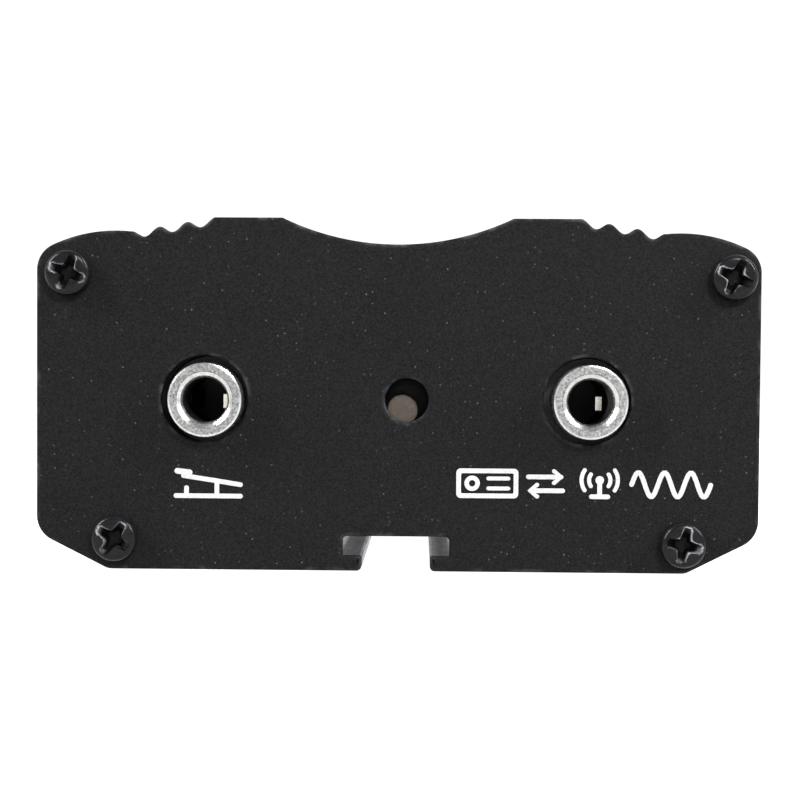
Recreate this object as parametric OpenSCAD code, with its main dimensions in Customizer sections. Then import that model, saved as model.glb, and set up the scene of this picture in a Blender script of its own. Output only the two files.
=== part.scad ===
// Pocket morse key: a dual-lever paddle and its electronic keyer in an extruded aluminium case.
// +X is to the right seen from the socket end, +Y runs from the sockets to the finger pieces, +Z is up.
// The origin is under the middle of the whole key, on the surface that it stands on.

/* [Case] */
// Width of the case across its sides
case_w = 58; // [50:0.5:72]
// Height of the case from its underside to the flats on top
case_h = 28.3; // [27:0.1:36]
// Length of the extruded body between the two end plates
body_len = 68; // [66:1:90]
// Thickness of the extruded walls
wall = 1.6; // [1.2:0.1:2]
// Thickness of each end plate
plate_t = 1.5; // [1:0.1:2.5]

/* [Case profile] */
// Half width of the dished rest in the top
dish_half_w = 9.25; // [7:0.25:9.5]
// Depth of the dished rest
dish_depth = 2.1; // [1.6:0.1:2.6]
// Grip grooves along each shoulder
groove_count = 3; // [1:1:3]
// Distance from one grip groove to the next
groove_pitch = 2.25; // [1.8:0.05:2.4]
// Depth of each grip groove
groove_depth = 0.6; // [0.3:0.05:0.8]
// Drop from the flats on top to the shoulders
shoulder_drop = 1.1; // [0.6:0.1:1.3]
// Radius of the shoulders
shoulder_r = 12; // [10:0.5:16]
// Distance from the top of a shoulder's curve to the centre of its corner
shoulder_reach = 4.2; // [3.4:0.1:5.2]
// Radius of the corners, which the upper end screws share a centre with
corner_r = 2.2; // [2.1:0.1:2.8]
// Width of the bevel along each lower edge
bevel_w = 5.8; // [4.8:0.1:7]
// Height of the bevel along each lower edge
bevel_h = 2.9; // [2.4:0.1:3.6]

/* [T-slot] */
// Width of the slot behind its lips
slot_w = 8.6; // [7:0.1:10.4]
// Width of the slot's neck between its lips
slot_neck = 5.5; // [4.4:0.1:6.6]
// Depth of the slot from the underside
slot_h = 2.8; // [2.4:0.1:3.4]
// Thickness of the lips
slot_lip = 1.15; // [0.9:0.05:1.4]

/* [End screws] */
// Radius of the end screws' shanks
screw_r = 1; // [0.8:0.05:1.2]
// Radius of the end screws' heads
screw_head_r = 1.85; // [1.6:0.05:2.2]
// Height of the end screws' heads
screw_head_h = 1.2; // [1:0.1:1.4]
// Length of the end screws under their heads
screw_len = 6; // [4:0.5:10]

/* [Sockets] */
// Distance of each socket from the middle of the case
jack_x = 15.35; // [13:0.05:18]
// How far both sockets stand to the right of that (mm)
jack_shift = -0.1; // [-1:0.05:1]
// Height of the sockets' axes above the underside
jack_z = 13.75; // [11.3:0.05:14.4]
// Radius of the sockets' bores, for a 3.5 mm plug
jack_bore_r = 1.8; // [1.75:0.05:2.2]
// Width of the lead-in chamfer at the mouth of each bore
jack_lead_in = 0.5; // [0.2:0.05:0.6]
// Outer radius of the sockets' metal barrels
jack_barrel_r = 3; // [2.6:0.1:3.6]
// How far the barrels stand out of the end plate
jack_nose = 1.5; // [1.3:0.1:3]
// Gap round each barrel in the end plate
jack_gap = 0.5; // [0.2:0.05:0.7]

/* [Circuit board] */
// Thickness of the circuit board
board_t = 1.6; // [1:0.1:2]
// Radius of the hole through which a pointed tool reaches the setting button
button_hole_r = 1.75; // [1.2:0.05:1.9]
// Radius of the setting button's stem
stem_r = 2; // [1.9:0.05:2.3]
// Distance of the setting button from the middle of the case
button_x = 0.8; // [0:0.1:2]
// Travel of the setting button
button_travel = 0.25; // [0.15:0.05:0.35]
// Radius of the coin cell
cell_r = 10; // [8:0.1:10.4]
// Thickness of the coin cell
cell_t = 3.2; // [2:0.1:3.6]

/* [Levers] */
// Distance of each lever's middle from the middle of the case
lever_x = 5; // [4.6:0.1:6.2]
// Thickness of the lever bars
lever_t = 3; // [2.4:0.1:3.6]
// Height of the lever bars
lever_h = 6; // [5:0.1:6.6]
// Distance from the front plate back to the pivots
pivot_back = 13.5; // [11:0.5:16]
// Distance from the pivots back to the contacts and stop
contact_back = 9.5; // [8:0.5:11.5]
// Radius of the pivot pins
pin_r = 1; // [0.8:0.05:1.2]
// Gap at the contacts when a lever is at rest
contact_gap = 0.35; // [0.2:0.05:0.6]
// Length of the finger pieces
finger_len = 20; // [16:0.5:26]
// Height of the finger pieces
finger_h = 16; // [12:0.5:19]
// Thickness of the finger pieces
finger_t = 2.5; // [2:0.1:3.2]
// Gap from the front plate to the finger pieces
finger_gap = 2.5; // [2:0.1:6]

/* [Hidden] */
$fn = 48;

// Colours of the finishes
anodised_black = "#1b1c1e";
black_oxide = "#0e0e10";
nickel = "#b9bbbf";
black_plastic = "#141414";
tinned_bronze = "#c8b58a";
board_green = "#1d5a38";
button_beige = "#b9a48c";
bright_steel = "#a9acb0";
chip_black = "#1f1f21";
capacitor_tan = "#a7814f";
brass = "#c29a4a";
satin_aluminium = "#c4c7cb";
nylon_white = "#e6e2d6";
magnet_nickel = "#cfd0d2";
contact_silver = "#dcdcdc";

// Clearances
snug = 0.03;          // round a shank in its tapped hole, and round a pin in its bearing
slip = 0.1;           // round a piece that slides or drops into place
loose = 0.25;         // round a screw or a pin in a plain hole
touch_gap = 0.05;     // between a lever at rest and its stop, and along its pivot pin
cut = 1;              // how far a cutting shape runs past what it cuts

// Case profile, worked out from its driving dimensions
half_w = case_w / 2;
dish_r = (pow(dish_half_w, 2) + pow(dish_depth, 2)) / (2 * dish_depth);
dish_z = case_h - dish_depth + dish_r;
corner_x = half_w - corner_r;
shoulder_x = corner_x - shoulder_reach;
shoulder_z = case_h - shoulder_drop - shoulder_r;
corner_z = shoulder_z + sqrt(pow(shoulder_r - corner_r, 2) - pow(shoulder_reach, 2));
shoulder_lead = 1.2;  // the grooves end this far inside the top of the shoulder's curve
grip_x1 = shoulder_x - shoulder_lead;
grip_x0 = grip_x1 - groove_count * groove_pitch;
grip_z1 = shoulder_z + sqrt(pow(shoulder_r, 2) - pow(shoulder_lead, 2));
foot_r = 1.5;         // rounding where the bevel meets the underside
lip_r = 0.4;          // rounding of the slot's lips
cavity_r = 0.5;       // rounding inside the walls
ceiling_z = case_h - max(dish_depth, shoulder_drop + groove_depth) - wall;

// Points along the curves of the profile
dish_steps = 14;
groove_steps = 8;
curve_steps = 6;

// End screws
low_screw_x = half_w - bevel_w - 0.45;
low_screw_z = screw_head_r + 0.65;
top_screw_x = corner_x - 0.35;
top_screw_z = corner_z - 0.4;
boss_wall = 1.4;
boss_r = screw_r + boss_wall;

// Places along the key
overall_len = jack_nose + plate_t + body_len + plate_t + finger_gap + finger_len;
rear_y = jack_nose - overall_len / 2;              // outer face of the rear plate
body_y0 = rear_y + plate_t;
body_y1 = body_y0 + body_len;
front_y = body_y1 + plate_t;                       // outer face of the front plate
pivot_y = body_y1 - pivot_back;
contact_y = pivot_y - contact_back;
finger_y0 = front_y + finger_gap;

// Sockets
jack_seat = 0.5;                                   // board to the underside of a barrel
jack_axis_h = jack_barrel_r + jack_seat;
jack_flange_r = jack_barrel_r + 0.6;
jack_flange_t = 0.8;
jack_setback = 1.2;                                // from the end plate to the flange
jack_rim = 0.2;                                    // chamfer round the nose
jack_body_half_w = jack_barrel_r + 1;
jack_body_bore_r = jack_bore_r + 0.35;             // wider than the barrel, so only that guides the plug
jack_body_len = 12;
jack_end_wall = 1.5;
jack_face_y = body_y0 + jack_setback + jack_flange_t;
jack_barrel_len = jack_face_y - rear_y + jack_nose;

// Sockets' contact leaves: each has a bump that presses on the plug
leaf_t = 0.25;
leaf_w = 1.6;
leaf_x = jack_body_half_w - 0.55;                  // outer face of a leaf, from the axis
leaf_bump_x = jack_bore_r - 0.7;                   // tip of its bump, from the axis
leaf_tail = 4.5;                                   // from the bump back to the leaf's leg
leaf_nose = 1.1;                                   // from the bump forwards to its free end
leaf_leg = 0.8;
leaf_room = 0.3;
ring_bump_y = 1.5;                                 // from the body's face
tip_bump_y = 6.3;

// Circuit board
board_top = jack_z - jack_axis_h;
board_bottom = board_top - board_t;
board_half_w = half_w - wall - 0.2;
rail_d = 1.6;
rail_t = 1.2;
pin_below = 1.2;                                   // how far soldered pins reach under the board
solder_pin_r = 0.35;

// Setting button
stem_face_y = body_y0 + 0.4;
stem_nose = 1.4;                                   // from the stem's face to its flange
stem_flange_r = stem_r + 0.4;
stem_flange_t = 0.7;
button_half_w = stem_r + 1;
button_cover_t = 0.3;
button_cover_y = stem_face_y + stem_nose - button_cover_t - touch_gap;
button_case_y = button_cover_y + button_cover_t;
button_case_len = 3.4;
button_well = stem_flange_t + button_travel + slip;

// Coin cell and its holder
holder_wall = 1;
holder_floor = 0.8;
holder_r = cell_r + slip + holder_wall;
holder_h = holder_floor + slip + cell_t - 0.6;
holder_y = jack_face_y + jack_body_len + 0.8 + holder_r;
finger_notch_half_w = 5.5;                         // a gap in the holder's rim to lift the cell by
finger_notch_y = 6;
cell_z = board_top + holder_floor + slip;
clip_t = 0.3;
clip_w = 4;
clip_foot = 1.2;

// Keyer chip and the small parts beside the coin cell
chip_x = holder_r + 4.4;
chip_size = [3.9, 8.7, 1.4];
chip_stand = 0.2;
lead_pitch = 1.27;
lead_w = 0.4;
lead_t = 0.2;
leads_per_side = 7;
resistor_size = [2, 1.25, 0.5];
resistor_y = [-8, -5.6, -3.2, -0.8, 1.6];          // from the coin cell's middle
capacitor_size = [3.2, 1.6, 1.2];
capacitor_y = [4.6, 7.4];

// Lever mechanism, from the board up
base_t = 3;
base_top = board_top + base_t;
lever_gap = 0.4;                                   // over and under each lever
lever_z0 = base_top + lever_gap;
lever_z1 = lever_z0 + lever_h;
lever_mid_z = (lever_z0 + lever_z1) / 2;
bridge_z0 = lever_z1 + lever_gap;
bridge_t = 3;
bridge_z1 = bridge_z0 + bridge_t;
bridge_half_len = 3.6;
hub_r = pin_r + 2.2;
thrust_r = pin_r + 0.4;                            // raised rings that bear on the inner races
bearing_r = pin_r + 1.5;
bearing_h = 2.5;
race_t = 0.45;
inner_race_r = pin_r + snug + race_t;
ball_count = 7;
ball_orbit_r = (inner_race_r + bearing_r - race_t) / 2;
ball_r = (bearing_r - race_t - inner_race_r) / 2 - 0.04;
pillar_r = 2;
pillar_x = lever_x + hub_r + 0.6 + pillar_r;
pillar_h = bridge_z0 - base_top;
pillar_grip = pillar_h * 0.45;                     // thread length of each screw in a pillar
base_half_w = pillar_x + pillar_r + 0.2;
base_back = 6;
base_front = 7;
centre_screw_dy = 4.2;
blind_end = 0.6;                                   // left between a screw's end and the next face

// Fasteners inside the case
inner_screw_r = 1;
inner_head_r = 1.9;
inner_head_h = 1.2;

// Cross recesses, as shares of the head's radius and height
recess_reach = 0.6;
recess_half_w = 0.15;
recess_depth = 0.7;
head_rounding = 0.7;

// Contacts and stop
tail_len = contact_back + 1.5;
magnet_r = 1.5;
magnet_t = 1.2;
magnet_z = lever_z1 - magnet_r - 0.4;
stop_rod_r = 0.7;
stop_rod_z = lever_z0 + stop_rod_r + 0.3;
stop_reach = lever_x - lever_t / 2 - touch_gap;
stop_half_w = 2.2;
post_half_len = 2.5;
post_half_w = 2;
post_x = lever_x + 7;
post_screw_depth = 3;
rivet_head_r = 0.9;
rivet_head_h = 0.3;
rivet_stem_r = 0.4;
rivet_stem_len = 1;
rivet_stem_x = lever_x + lever_t / 2 - rivet_stem_len;
contact_tip_x = lever_x + lever_t / 2 + rivet_head_h + contact_gap;
knob_r = 2.5;
knob_t = 2.5;
knob_x = post_x + post_half_w + 3;
knob_slot_half_w = 0.3;
knob_slot_depth = 1;
nut_t = 1.6;
nut_r = 2.3;

// Finger pieces
finger_corner_r = 3;
finger_nose_r = 6;
finger_screw_r = 0.8;
finger_head_r = 1.6;
finger_screw_y = [4, 10];                          // from the finger piece's rear edge
bar_end_y = finger_y0 + finger_screw_y[1] + 2.5;
window_half_w = lever_x + lever_t / 2 + 1.5;
window_half_h = lever_h / 2 + 1.2;
window_r = 1.5;

// ---------------------------------------------------------------- shapes

function unit(v) = v / norm(v);
function xy(p) = [p[0], p[1]];

// Points of an arc about c, from angle a0 through the given sweep.
function arc(c, r, a0, sweep, steps = curve_steps) =
    [for (i = [0 : steps]) c + r * [cos(a0 + sweep * i / steps), sin(a0 + sweep * i / steps)]];

// The points that round corner p, between its neighbours a and b, to radius r.
function corner(a, p, b, r) =
    r == 0 ? [p] :
    let (
        u = unit(a - p),
        v = unit(b - p),
        half = acos(u * v) / 2,
        c = p + unit(u + v) * r / sin(half),
        start = p + u * r / tan(half) - c,
        end = p + v * r / tan(half) - c,
        a0 = atan2(start[1], start[0]),
        turn = atan2(end[1], end[0]) - a0,
        sweep = turn > 180 ? turn - 360 : turn < -180 ? turn + 360 : turn
    )
    arc(c, r, a0, sweep);

// An open path of [x, y, radius] points with its inner points rounded. Its two ends only aim it.
function rounded_path(path) =
    [for (i = [1 : len(path) - 2]) each corner(xy(path[i - 1]), xy(path[i]), xy(path[i + 1]), path[i][2])];

// A closed outline of [x, y, radius] points with each of them rounded.
function rounded(outline) =
    rounded_path(concat([outline[len(outline) - 1]], outline, [outline[0]]));

// A right half and its mirror image as one closed outline.
function both_halves(right) =
    concat(
        right,
        [for (i = [len(right) - 1 : -1 : 0]) if (right[i][0] > 0.001) [-right[i][0], right[i][1]]]
    );

// The grip grooves, as a wave along the line from the flat on top down to the shoulder.
function grip_wave() =
    [for (i = [0 : groove_count * groove_steps])
        let (t = i / (groove_count * groove_steps))
        [grip_x0 + t * (grip_x1 - grip_x0),
         case_h + t * (grip_z1 - case_h) - groove_depth * pow(sin(180 * i / groove_steps), 2)]];

join_angle = atan2(corner_z - shoulder_z, shoulder_reach);
lead_angle = 90 + asin(shoulder_lead / shoulder_r);
case_outline = both_halves(concat(
    arc([0, dish_z], dish_r, 270, asin(dish_half_w / dish_r), dish_steps),
    grip_wave(),
    arc([shoulder_x, shoulder_z], shoulder_r, lead_angle, join_angle - lead_angle),
    arc([corner_x, corner_z], corner_r, join_angle, -join_angle),
    rounded_path([
        [half_w, corner_z, 0],
        [half_w, bevel_h, corner_r],
        [half_w - bevel_w, 0, foot_r],
        [slot_neck / 2, 0, lip_r],
        [slot_neck / 2, slot_lip, lip_r / 2],
        [slot_w / 2, slot_lip, 0],
        [slot_w / 2, slot_h, lip_r],
        [0, slot_h, 0]
    ]),
    [[0, slot_h]]
));

// The bevel's inner face lies one wall behind it, and meets the side and the floor at these points.
bevel_inside = [half_w, bevel_h] + wall * unit([-bevel_h, bevel_w]);
bevel_slope = bevel_h / bevel_w;
bevel_side_z = bevel_inside[1] + (half_w - wall - bevel_inside[0]) * bevel_slope;
bevel_floor_x = bevel_inside[0] + (wall - bevel_inside[1]) / bevel_slope;
cavity_outline = both_halves(concat(
    [[0, ceiling_z]],
    rounded_path([
        [0, ceiling_z, 0],
        [half_w - wall, ceiling_z, cavity_r],
        [half_w - wall, bevel_side_z, cavity_r],
        [bevel_floor_x, wall, cavity_r],
        [slot_w / 2 + wall, wall, cavity_r],
        [slot_w / 2 + wall, slot_h + wall, cavity_r],
        [0, slot_h + wall, 0]
    ]),
    [[0, slot_h + wall]]
));

// Extrudes a profile drawn in X and Z from y0 forwards.
module along_y(y0, length)
    translate([0, y0 + length, 0])
        rotate([90, 0, 0])
            linear_extrude(length)
                children();

// A round bar along Y from y0 forwards, about the axis at x and z.
module bar_y(r, y0, length, x = 0, z = 0)
    translate([x, y0, z])
        rotate([-90, 0, 0])
            cylinder(r = r, h = length);

// A round bar along X from x0 to the right, about the axis at y and z.
module bar_x(r, x0, length, y, z)
    translate([x0, y, z])
        rotate([0, 90, 0])
            cylinder(r = r, h = length);

// A round bar along Z from z0 up.
module bar_z(r, x, y, z0, length)
    translate([x, y, z0])
        cylinder(r = r, h = length);

// A box between two corners.
module block(low, high)
    translate(low)
        cube(high - low);

// Its children as drawn on the right, or mirrored to the left where side is -1.
module on_side(side)
    if (side < 0)
        mirror([1, 0, 0])
            children();
    else
        children();

module both_sides()
    for (side = [-1, 1])
        on_side(side)
            children();

// A cross recess in a screw's head, cut down from z = 0.
module cross_recess(head_r, depth)
    for (turn = [0, 90])
        rotate(turn)
            block(
                [-head_r * recess_reach, -head_r * recess_half_w, -depth],
                [head_r * recess_reach, head_r * recess_half_w, cut]
            );

// A pan-head screw with its head's seat at z = 0 and its shank down -Z.
module pan_screw(r, length, head_r, head_h)
    difference() {
        union() {
            rotate_extrude()
                polygon(concat(
                    [[0, 0], [head_r, 0]],
                    corner([head_r, 0], [head_r, head_h], [0, head_h], head_h * head_rounding),
                    [[0, head_h]]
                ));
            bar_z(r - snug, 0, 0, -length, length);
        }
        translate([0, 0, head_h])
            cross_recess(head_r, head_h * recess_depth);
    }

// A countersunk screw with its flat top at z = 0 and its shank down -Z.
module sunk_screw(r, length, head_r)
    difference() {
        rotate_extrude()
            polygon([[0, 0], [head_r, 0], [r - snug, r - head_r], [r - snug, -length], [0, -length]]);
        cross_recess(head_r, (head_r - r) * recess_depth);
    }

// The hole that a countersunk screw sits in, cut down from z = 0.
module sunk_hole(r, length, head_r)
    rotate_extrude()
        polygon([
            [0, cut], [head_r + snug, cut], [head_r + snug, 0],
            [r + snug, r - head_r], [r + snug, -length], [0, -length]
        ]);

// ---------------------------------------------------------------- case

module end_screw_spots()
    for (side = [-1, 1]) {
        translate([side * top_screw_x, top_screw_z])
            children();
        translate([side * low_screw_x, low_screw_z])
            children();
    }

// Ribs along the inside of both walls that hold the circuit board's edges.
module board_rails()
    for (side = [-1, 1], z = [board_bottom - slip - rail_t, board_top + slip])
        translate([side * (half_w - wall - rail_d / 2), z + rail_t / 2])
            square([rail_d, rail_t], center = true);

module body_shell()
    color(anodised_black)
        along_y(body_y0, body_len)
            difference() {
                polygon(case_outline);
                difference() {
                    polygon(cavity_outline);
                    end_screw_spots() circle(r = boss_r);
                    board_rails();
                }
                end_screw_spots() circle(r = screw_r);
            }

// An end plate with its screw holes. Its children are its other holes.
module end_plate(y0)
    color(anodised_black)
        along_y(y0, plate_t)
            difference() {
                polygon(case_outline);
                end_screw_spots() circle(r = screw_r + loose);
                children();
            }

module rear_plate()
    end_plate(rear_y) {
        for (side = [-1, 1])
            translate([side * jack_x + jack_shift, jack_z])
                circle(r = jack_barrel_r + jack_gap);
        translate([button_x, jack_z])
            circle(r = button_hole_r);
    }

module front_plate()
    end_plate(body_y1)
        polygon(rounded([
            [-window_half_w, lever_mid_z - window_half_h, window_r],
            [window_half_w, lever_mid_z - window_half_h, window_r],
            [window_half_w, lever_mid_z + window_half_h, window_r],
            [-window_half_w, lever_mid_z + window_half_h, window_r]
        ]));

// The four screws of one end plate. Their heads face along Y, backwards where facing is -1.
module end_screws(seat_y, facing)
    color(black_oxide)
        for (side = [-1, 1], spot = [[top_screw_x, top_screw_z], [low_screw_x, low_screw_z]])
            translate([side * spot[0], seat_y, spot[1]])
                rotate([-90 * facing, 0, 0])
                    pan_screw(screw_r, screw_len, screw_head_r, screw_head_h);

module rear_plate_screws() end_screws(rear_y, -1);

module front_plate_screws() end_screws(front_y, 1);

// ---------------------------------------------------------------- circuit board

// Where pins and screws pass through the board: at a socket and at the button, then in the key's own frame.
jack_pins = [
    [0, -jack_flange_t / 2],
    [leaf_x - leaf_t / 2, ring_bump_y + leaf_tail - leaf_leg / 2],
    [leaf_t / 2 - leaf_x, tip_bump_y + leaf_tail - leaf_leg / 2]
];
button_pin_x = button_half_w - button_cover_t / 2;
button_pin_y = [1, button_case_len - 0.8];
base_screw_spots = [
    [-pillar_x, pivot_y], [pillar_x, pivot_y],
    [0, pivot_y - centre_screw_dy], [0, pivot_y + centre_screw_dy]
];
post_screw_spots = [[-post_x, contact_y], [0, contact_y], [post_x, contact_y]];

module board_hole(r, x, y)
    bar_z(r, x, y, board_bottom - cut, board_t + 2 * cut);

module circuit_board()
    color(board_green)
        difference() {
            block([-board_half_w, body_y0 + slip, board_bottom], [board_half_w, body_y1 - slip, board_top]);
            for (side = [-1, 1], pin = jack_pins)
                board_hole(leaf_leg / 2 + slip, side * jack_x + jack_shift + pin[0], jack_face_y + pin[1]);
            for (side = [-1, 1], dy = button_pin_y)
                board_hole(solder_pin_r + slip, button_x + side * button_pin_x, button_case_y + dy);
            for (spot = concat(base_screw_spots, post_screw_spots))
                board_hole(inner_screw_r + loose, spot[0], spot[1]);
        }

// ---------------------------------------------------------------- sockets

// Puts its children at a socket: its axis at x = z = 0, its body's face at y = 0 and its nose towards -Y.
module at_jack(side)
    translate([side * jack_x + jack_shift, jack_face_y, jack_z])
        children();

jack_pin_z = board_bottom - pin_below - jack_z;    // the soldered pins' lower ends, from the axis

// The flange behind the barrel is flat underneath, where it stands on the board.
module jack_barrel(side)
    color(nickel)
        at_jack(side) {
            difference() {
                rotate([90, 0, 0])
                    rotate_extrude()
                        polygon([
                            [jack_bore_r, 0],
                            [jack_flange_r, 0],
                            [jack_flange_r, jack_flange_t],
                            [jack_barrel_r, jack_flange_t],
                            [jack_barrel_r, jack_barrel_len - jack_rim],
                            [jack_barrel_r - jack_rim, jack_barrel_len],
                            [jack_bore_r + jack_lead_in, jack_barrel_len],
                            [jack_bore_r, jack_barrel_len - jack_lead_in]
                        ]);
                block(
                    [-jack_flange_r, -jack_flange_t - cut, -jack_flange_r - cut],
                    [jack_flange_r, cut, -jack_axis_h]
                );
            }
            bar_z(solder_pin_r, 0, -jack_flange_t / 2, jack_pin_z, -jack_barrel_r - jack_pin_z);
        }

// A contact leaf on the socket's right, from its leg forwards over the bump at bump_y.
module contact_leaf(bump_y) {
    back = bump_y + leaf_tail;
    knee = back - leaf_leg;
    nose_x = leaf_bump_x + 1;
    translate([0, 0, -leaf_w / 2])
        linear_extrude(leaf_w)
            polygon([
                [leaf_x, back],
                [leaf_x, knee],
                [leaf_bump_x + leaf_t, bump_y],
                [nose_x + leaf_t, bump_y - leaf_nose],
                [nose_x, bump_y - leaf_nose],
                [leaf_bump_x, bump_y],
                [leaf_x - leaf_t, knee],
                [leaf_x - leaf_t, back]
            ]);
    block([leaf_x - leaf_t, knee, jack_pin_z], [leaf_x, back, -leaf_w / 2]);
}

// The room in the socket's body for a leaf and its leg.
module contact_room(bump_y) {
    back = bump_y + leaf_tail;
    block(
        [0, bump_y - leaf_nose - leaf_room, -leaf_w / 2 - leaf_room],
        [leaf_x, back, leaf_w / 2 + leaf_room]
    );
    block([leaf_x - leaf_t - leaf_room, back - leaf_leg, jack_pin_z], [leaf_x, back, 0]);
}

// The ring's contact is on the right, just behind the barrel, and the tip's is further in on the left.
module jack_body(side)
    color(black_plastic)
        at_jack(side)
            difference() {
                block(
                    [-jack_body_half_w, 0, -jack_axis_h],
                    [jack_body_half_w, jack_body_len, jack_flange_r]
                );
                bar_y(jack_body_bore_r, -cut, jack_body_len - jack_end_wall + cut);
                on_side(1) contact_room(ring_bump_y);
                on_side(-1) contact_room(tip_bump_y);
            }

module jack_contacts(side)
    color(tinned_bronze)
        at_jack(side) {
            on_side(1) contact_leaf(ring_bump_y);
            on_side(-1) contact_leaf(tip_bump_y);
        }

module key_jack_barrel() jack_barrel(-1);

module key_jack_body() jack_body(-1);

module key_jack_contacts() jack_contacts(-1);

module transceiver_jack_barrel() jack_barrel(1);

module transceiver_jack_body() jack_body(1);

module transceiver_jack_contacts() jack_contacts(1);

// ---------------------------------------------------------------- setting button

module set_button_case()
    color(black_plastic)
        difference() {
            block(
                [button_x - button_half_w + button_cover_t, button_case_y, board_top],
                [
                    button_x + button_half_w - button_cover_t,
                    button_case_y + button_case_len,
                    jack_z + button_half_w
                ]
            );
            bar_y(stem_flange_r + slip, button_case_y - cut, button_well + cut, button_x, jack_z);
        }

// A steel plate over the button's face with an ear down each side, which ends in two soldered pins.
module set_button_cover()
    color(bright_steel)
        difference() {
            union() {
                block(
                    [button_x - button_half_w, button_cover_y, board_top],
                    [button_x + button_half_w, button_case_y, jack_z + button_half_w]
                );
                for (side = [-1, 1]) {
                    translate([button_x + side * button_pin_x, 0, 0])
                        block(
                            [-button_cover_t / 2, button_cover_y, board_top],
                            [button_cover_t / 2, button_case_y + button_case_len, jack_z + button_half_w - 1]
                        );
                    for (dy = button_pin_y)
                        bar_z(
                            solder_pin_r, button_x + side * button_pin_x, button_case_y + dy,
                            board_bottom - pin_below, board_t + pin_below
                        );
                }
            }
            bar_y(stem_r + slip, button_cover_y - cut, button_cover_t + 2 * cut, button_x, jack_z);
        }

// The stem, with a flange behind the cover that keeps it in.
module set_button_stem()
    color(button_beige) {
        bar_y(stem_r, stem_face_y, stem_nose + stem_flange_t, button_x, jack_z);
        bar_y(stem_flange_r, stem_face_y + stem_nose, stem_flange_t, button_x, jack_z);
    }

// ---------------------------------------------------------------- keyer chip and small parts

// A box of the given size on the board, in the middle of x and y.
module on_board(x, y, size, stand = 0)
    translate([x - size[0] / 2, y - size[1] / 2, board_top + stand])
        cube(size);

module keyer_chip()
    color(chip_black)
        on_board(-chip_x, holder_y, chip_size, chip_stand);

// Gull-wing leads, each from the chip's side down to the board and out along it.
lead_shoulder = 0.5;
lead_reach = 1.1;
lead_top = chip_stand + chip_size[2] / 2;

module keyer_chip_leads()
    color(bright_steel)
        for (side = [-1, 1], i = [0 : leads_per_side - 1])
            translate([
                -chip_x,
                holder_y + (i - (leads_per_side - 1) / 2) * lead_pitch + lead_w / 2,
                board_top
            ])
                on_side(side)
                    translate([chip_size[0] / 2, 0, 0])
                        rotate([90, 0, 0])
                            linear_extrude(lead_w)
                                polygon([
                                    [0, lead_top],
                                    [lead_shoulder, lead_top],
                                    [lead_shoulder, 0],
                                    [lead_reach, 0],
                                    [lead_reach, lead_t],
                                    [lead_shoulder + lead_t, lead_t],
                                    [lead_shoulder + lead_t, lead_top + lead_t],
                                    [0, lead_top + lead_t]
                                ]);

module chip_resistors()
    color(chip_black)
        for (dy = resistor_y)
            on_board(chip_x, holder_y + dy, resistor_size);

module chip_capacitors()
    color(capacitor_tan)
        for (dy = capacitor_y)
            on_board(chip_x, holder_y + dy, capacitor_size);

// ---------------------------------------------------------------- coin cell

module coin_cell_holder()
    color(black_plastic)
        translate([0, holder_y, board_top])
            difference() {
                cylinder(r = holder_r, h = holder_h);
                bar_z(cell_r + slip, 0, 0, holder_floor, holder_h);
                block(
                    [-finger_notch_half_w, finger_notch_y, holder_floor],
                    [finger_notch_half_w, holder_r + cut, holder_h + cut]
                );
            }

// The cell, with its smaller contact underneath and a groove where that is crimped in.
cell_step_r = 1;
cell_step_h = 0.3;
cell_edge = 0.2;

module coin_cell()
    color(bright_steel)
        translate([0, holder_y, cell_z])
            rotate_extrude()
                polygon([
                    [0, 0],
                    [cell_r - cell_step_r, 0],
                    [cell_r - cell_step_r, cell_step_h],
                    [cell_r, cell_step_h + cell_edge],
                    [cell_r, cell_t - cell_edge],
                    [cell_r - cell_edge, cell_t],
                    [0, cell_t]
                ]);

// A strap over the coin cell with a foot on the board at each side.
module coin_cell_clip()
    color(bright_steel) {
        strap_z = cell_z + cell_t;
        inside = holder_r + slip;
        outside = inside + clip_t;
        translate([0, holder_y - clip_w / 2, 0]) {
            block([-outside, 0, strap_z], [outside, clip_w, strap_z + clip_t]);
            both_sides() {
                block([inside, 0, board_top], [outside, clip_w, strap_z + clip_t]);
                block([inside, 0, board_top], [inside + clip_foot, clip_w, board_top + clip_t]);
            }
        }
    }

// ---------------------------------------------------------------- lever mechanism

module mechanism_base()
    color(brass)
        difference() {
            block(
                [-base_half_w, pivot_y - base_back, board_top],
                [base_half_w, pivot_y + base_front, base_top]
            );
            for (side = [-1, 1]) {
                bar_z(bearing_r + snug, side * lever_x, pivot_y, base_top - bearing_h, bearing_h + cut);
                bar_z(pin_r + loose, side * lever_x, pivot_y, board_top - cut, base_t);
            }
            for (spot = base_screw_spots)
                bar_z(inner_screw_r, spot[0], spot[1], board_top - cut, base_t + 2 * cut);
        }

module bearing_bridge()
    color(satin_aluminium)
        difference() {
            block(
                [-base_half_w, pivot_y - bridge_half_len, bridge_z0],
                [base_half_w, pivot_y + bridge_half_len, bridge_z1]
            );
            for (side = [-1, 1]) {
                bar_z(bearing_r + snug, side * lever_x, pivot_y, bridge_z0 - cut, bearing_h + cut);
                bar_z(pin_r + loose, side * lever_x, pivot_y, bridge_z0, bridge_t + cut);
                translate([side * pillar_x, pivot_y, bridge_z1])
                    sunk_hole(inner_screw_r, bridge_t + cut, inner_head_r);
            }
        }

module bridge_pillars()
    color(brass)
        both_sides()
            difference() {
                bar_z(pillar_r, pillar_x, pivot_y, base_top, pillar_h);
                bar_z(inner_screw_r, pillar_x, pivot_y, base_top - cut, pillar_h + 2 * cut);
            }

module bridge_screws()
    color(bright_steel)
        for (side = [-1, 1])
            translate([side * pillar_x, pivot_y, bridge_z1])
                sunk_screw(inner_screw_r, bridge_t + pillar_grip, inner_head_r);

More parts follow.
